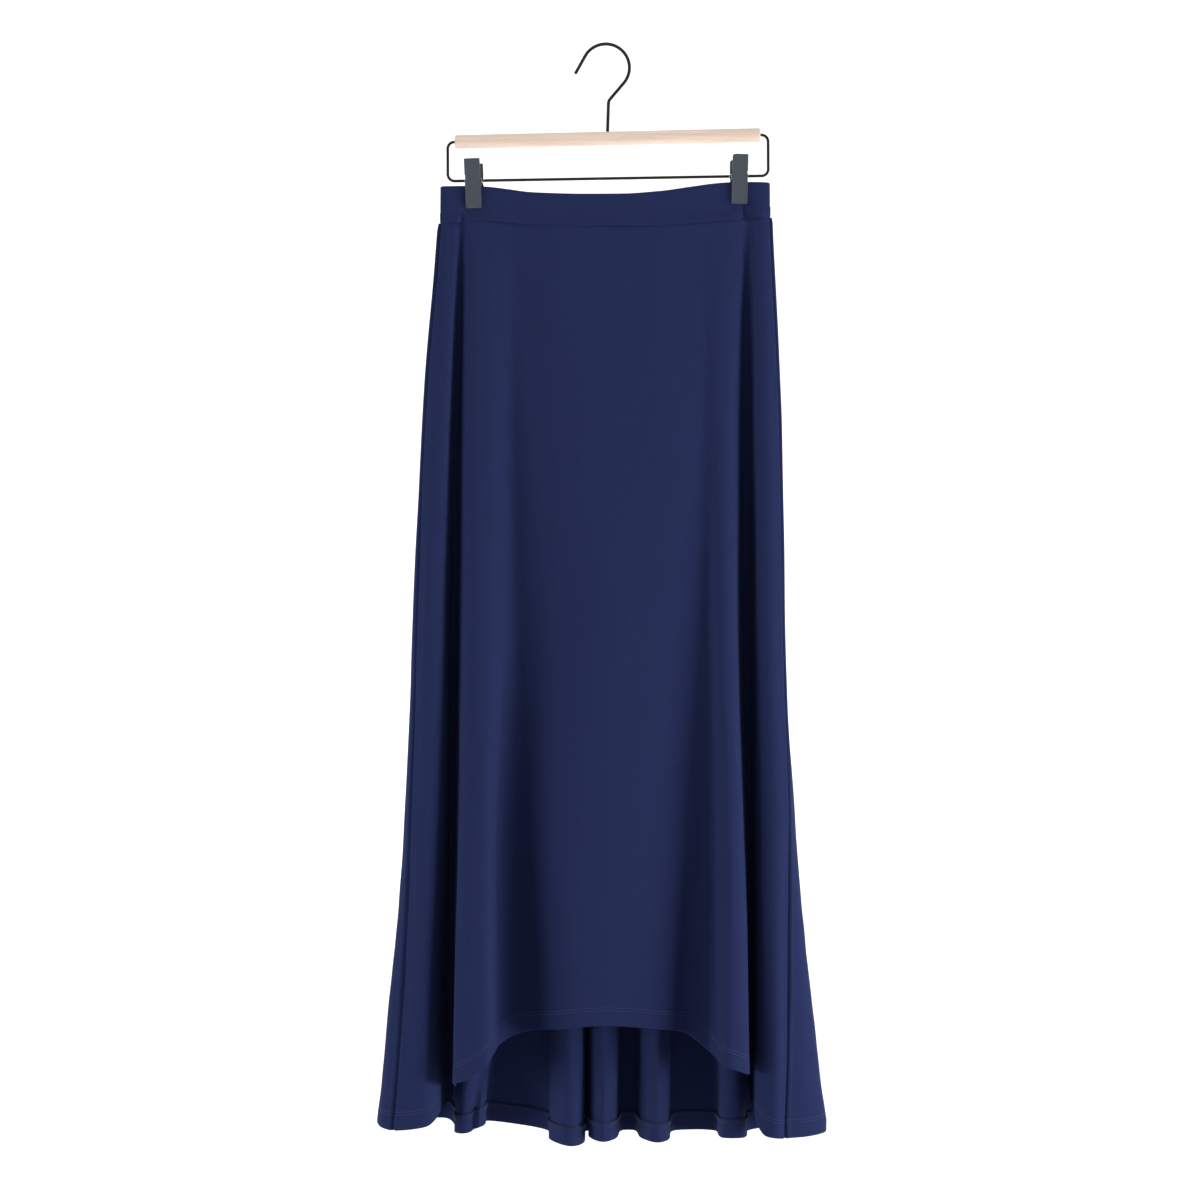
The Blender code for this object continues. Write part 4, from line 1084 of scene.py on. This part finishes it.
# lamp, its place, what it points at, its width, its watts
LAMPS = (
    ("left_box", (-2.0, -1.02, -1.15), MIDDLE, 1.15, 41.5),
    ("right_box", (2.08, -0.82, -1.15), MIDDLE, 0.98, 65.0),
    ("top_box", (0.1, -0.25, 1.0), HANGER, 0.8, 9.0),
    ("back_left_box", (-2.4, 2.6, 0.6), MIDDLE, 1.6, 22.0),
    ("back_right_box", (2.4, 2.6, 0.6), MIDDLE, 1.6, 22.0),
)
SENSOR, LENS = 36.0, 63.46
CAMERA = (-0.006, -2.2, -0.5766)
NEAR_FLOOR = (-0.3, 0.55)  # y where the floor's own light begins and where it is whole, m


def pale_board(name, corners, near=1.0):
    """A matt pale board with a little light of its own, near times as strong towards the camera."""
    mesh = bpy.data.meshes.new(name)
    mesh.from_pydata(corners, [], [(0, 1, 2, 3)])
    board = bpy.data.objects.new(name, mesh)
    bpy.context.scene.collection.objects.link(board)
    look = bpy.data.materials.new(name)
    look.use_nodes = True
    tree = look.node_tree
    shader = tree.nodes["Principled BSDF"]
    place = add_node(tree, "ShaderNodeTexCoord", {}, output=3)
    back = add_node(tree, "ShaderNodeSeparateXYZ", {}, {"Vector": place}, 1).smooth(*NEAR_FLOOR)
    glow = blend(tree, back, color(near, near, near), color(1, 1, 1))
    tree.links.new(glow.link, shader.inputs["Emission Color"])
    shader.inputs["Base Color"].default_value = color(0.6, 0.6, 0.6)
    shader.inputs["Roughness"].default_value = 0.9
    shader.inputs["Specular IOR Level"].default_value = 0.0
    shader.inputs["Emission Strength"].default_value = GLOW
    mesh.materials.append(look)


def studio():
    world = bpy.data.worlds.new("studio")
    bpy.context.scene.world = world
    world.use_nodes = True
    surround = world.node_tree.nodes["Background"]
    surround.inputs["Color"].default_value = color(1, 1, 1)
    surround.inputs["Strength"].default_value = SURROUND
    corners = ((-1, -1), (1, -1), (1, 1), (-1, 1))
    pale_board("floor", [(x * FLOOR_HALF, y * FLOOR_HALF, FLOOR) for x, y in corners], NEAR_GLOW)
    levels = {-1: FLOOR, 1: TOP_OF_BACKDROP}
    pale_board("backdrop", [(x * BACKDROP_HALF, BACKDROP, levels[z]) for x, z in corners])
    for lamp in LAMPS:
        soft_light(*lamp)
    lens = bpy.data.cameras.new("camera")
    lens.sensor_width, lens.lens = SENSOR, LENS
    camera = bpy.data.objects.new("camera", lens)
    bpy.context.scene.collection.objects.link(camera)
    camera.location = CAMERA
    camera.rotation_euler = (math.radians(90), 0, 0)
    bpy.context.scene.camera = camera
    bpy.context.scene.view_settings.view_transform = "Standard"


# ---- the whole


def hem_sewing(name, panel, rows_group, thread_group, thread):
    """The twin rows outside, and the looped thread between them inside."""
    facing = panel["facing"][panel["outer_rows"] - 1]
    lines = [(hem_line(panel, row, CLOTH / 2 + 0.02), facing) for row in HEM_ROWS]
    stitch = tuple(size * MM for size in STITCH)
    settings = {"Pitch": STITCH_PITCH * MM, "Stitch": stitch, "Thread": thread}
    outside = sewn(name + "_rows", rows_group, lines, settings)
    inset = -(2 * HEM_BEND + CLOTH / 2 + 0.1)
    low, high = (hem_line(panel, row, inset) for row in (HEM_ROWS[0] - 0.5, HEM_DEEP + 0.6))
    looped = zigzag(low, high, LOOPER_PITCH)
    settings = {"Radius": LOOPER_RADIUS * MM, "Thread": thread}
    inside = sewn(name + "_looper", thread_group, [(looped, 0 * looped)], settings)
    return outside, inside


def put(piece, node):
    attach(piece, "root")
    if node:
        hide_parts(node)


def main():
    studio()
    skirt_look = jersey("navy_jersey", NAVY, *SKIRT_KNIT)
    band_look = jersey("band_jersey", NAVY, *BAND_KNIT)
    thread = sewing_thread()
    wood, black, slate, steel = beech(), painted_wire(), moulded_plastic(), spring_steel()

    front, front_made = skirt_panel("skirt_front", 0, SIDE_SEAM, "centre_front", 3.4, skirt_look, 11)
    back, back_made = skirt_panel("skirt_back", SIDE_SEAM, len(FOLDS), "fold_c_front", 3.9, skirt_look, 21)
    band = waistband(band_look)
    rows_group, thread_group = stitch_row_group(), laid_thread_group()
    front_sewing = hem_sewing("front_hem", front_made, rows_group, thread_group, thread)
    back_sewing = hem_sewing("back_hem", back_made, rows_group, thread_group, thread)
    put(front, "front_panel")
    put(back, "back_panel")
    put(band, "waistband")
    for piece in (*front_sewing, *back_sewing):
        put(piece, None)

    put(hanger_dowel(wood), "hanger_dowel")
    put(hanger_hook(black), "hanger_hook")
    put(hanger_frame(black), "hanger_frame")
    for side, sideways, height, lean, slip, drop, corners in CLIPS:
        front_jaw = clip_jaw(f"{side}_clip_front", 1, sideways, height, lean, corners, slate)
        rear_jaw = clip_jaw(f"{side}_clip_rear", -1, sideways + slip, height + drop, lean, corners, slate)
        coil = clip_spring(f"{side}_clip_coil", sideways + slip / 2, steel)
        put(front_jaw, f"clip_{side}_front_jaw")
        put(rear_jaw, f"clip_{side}_rear_jaw")
        put(coil, f"clip_{side}_spring")


main()
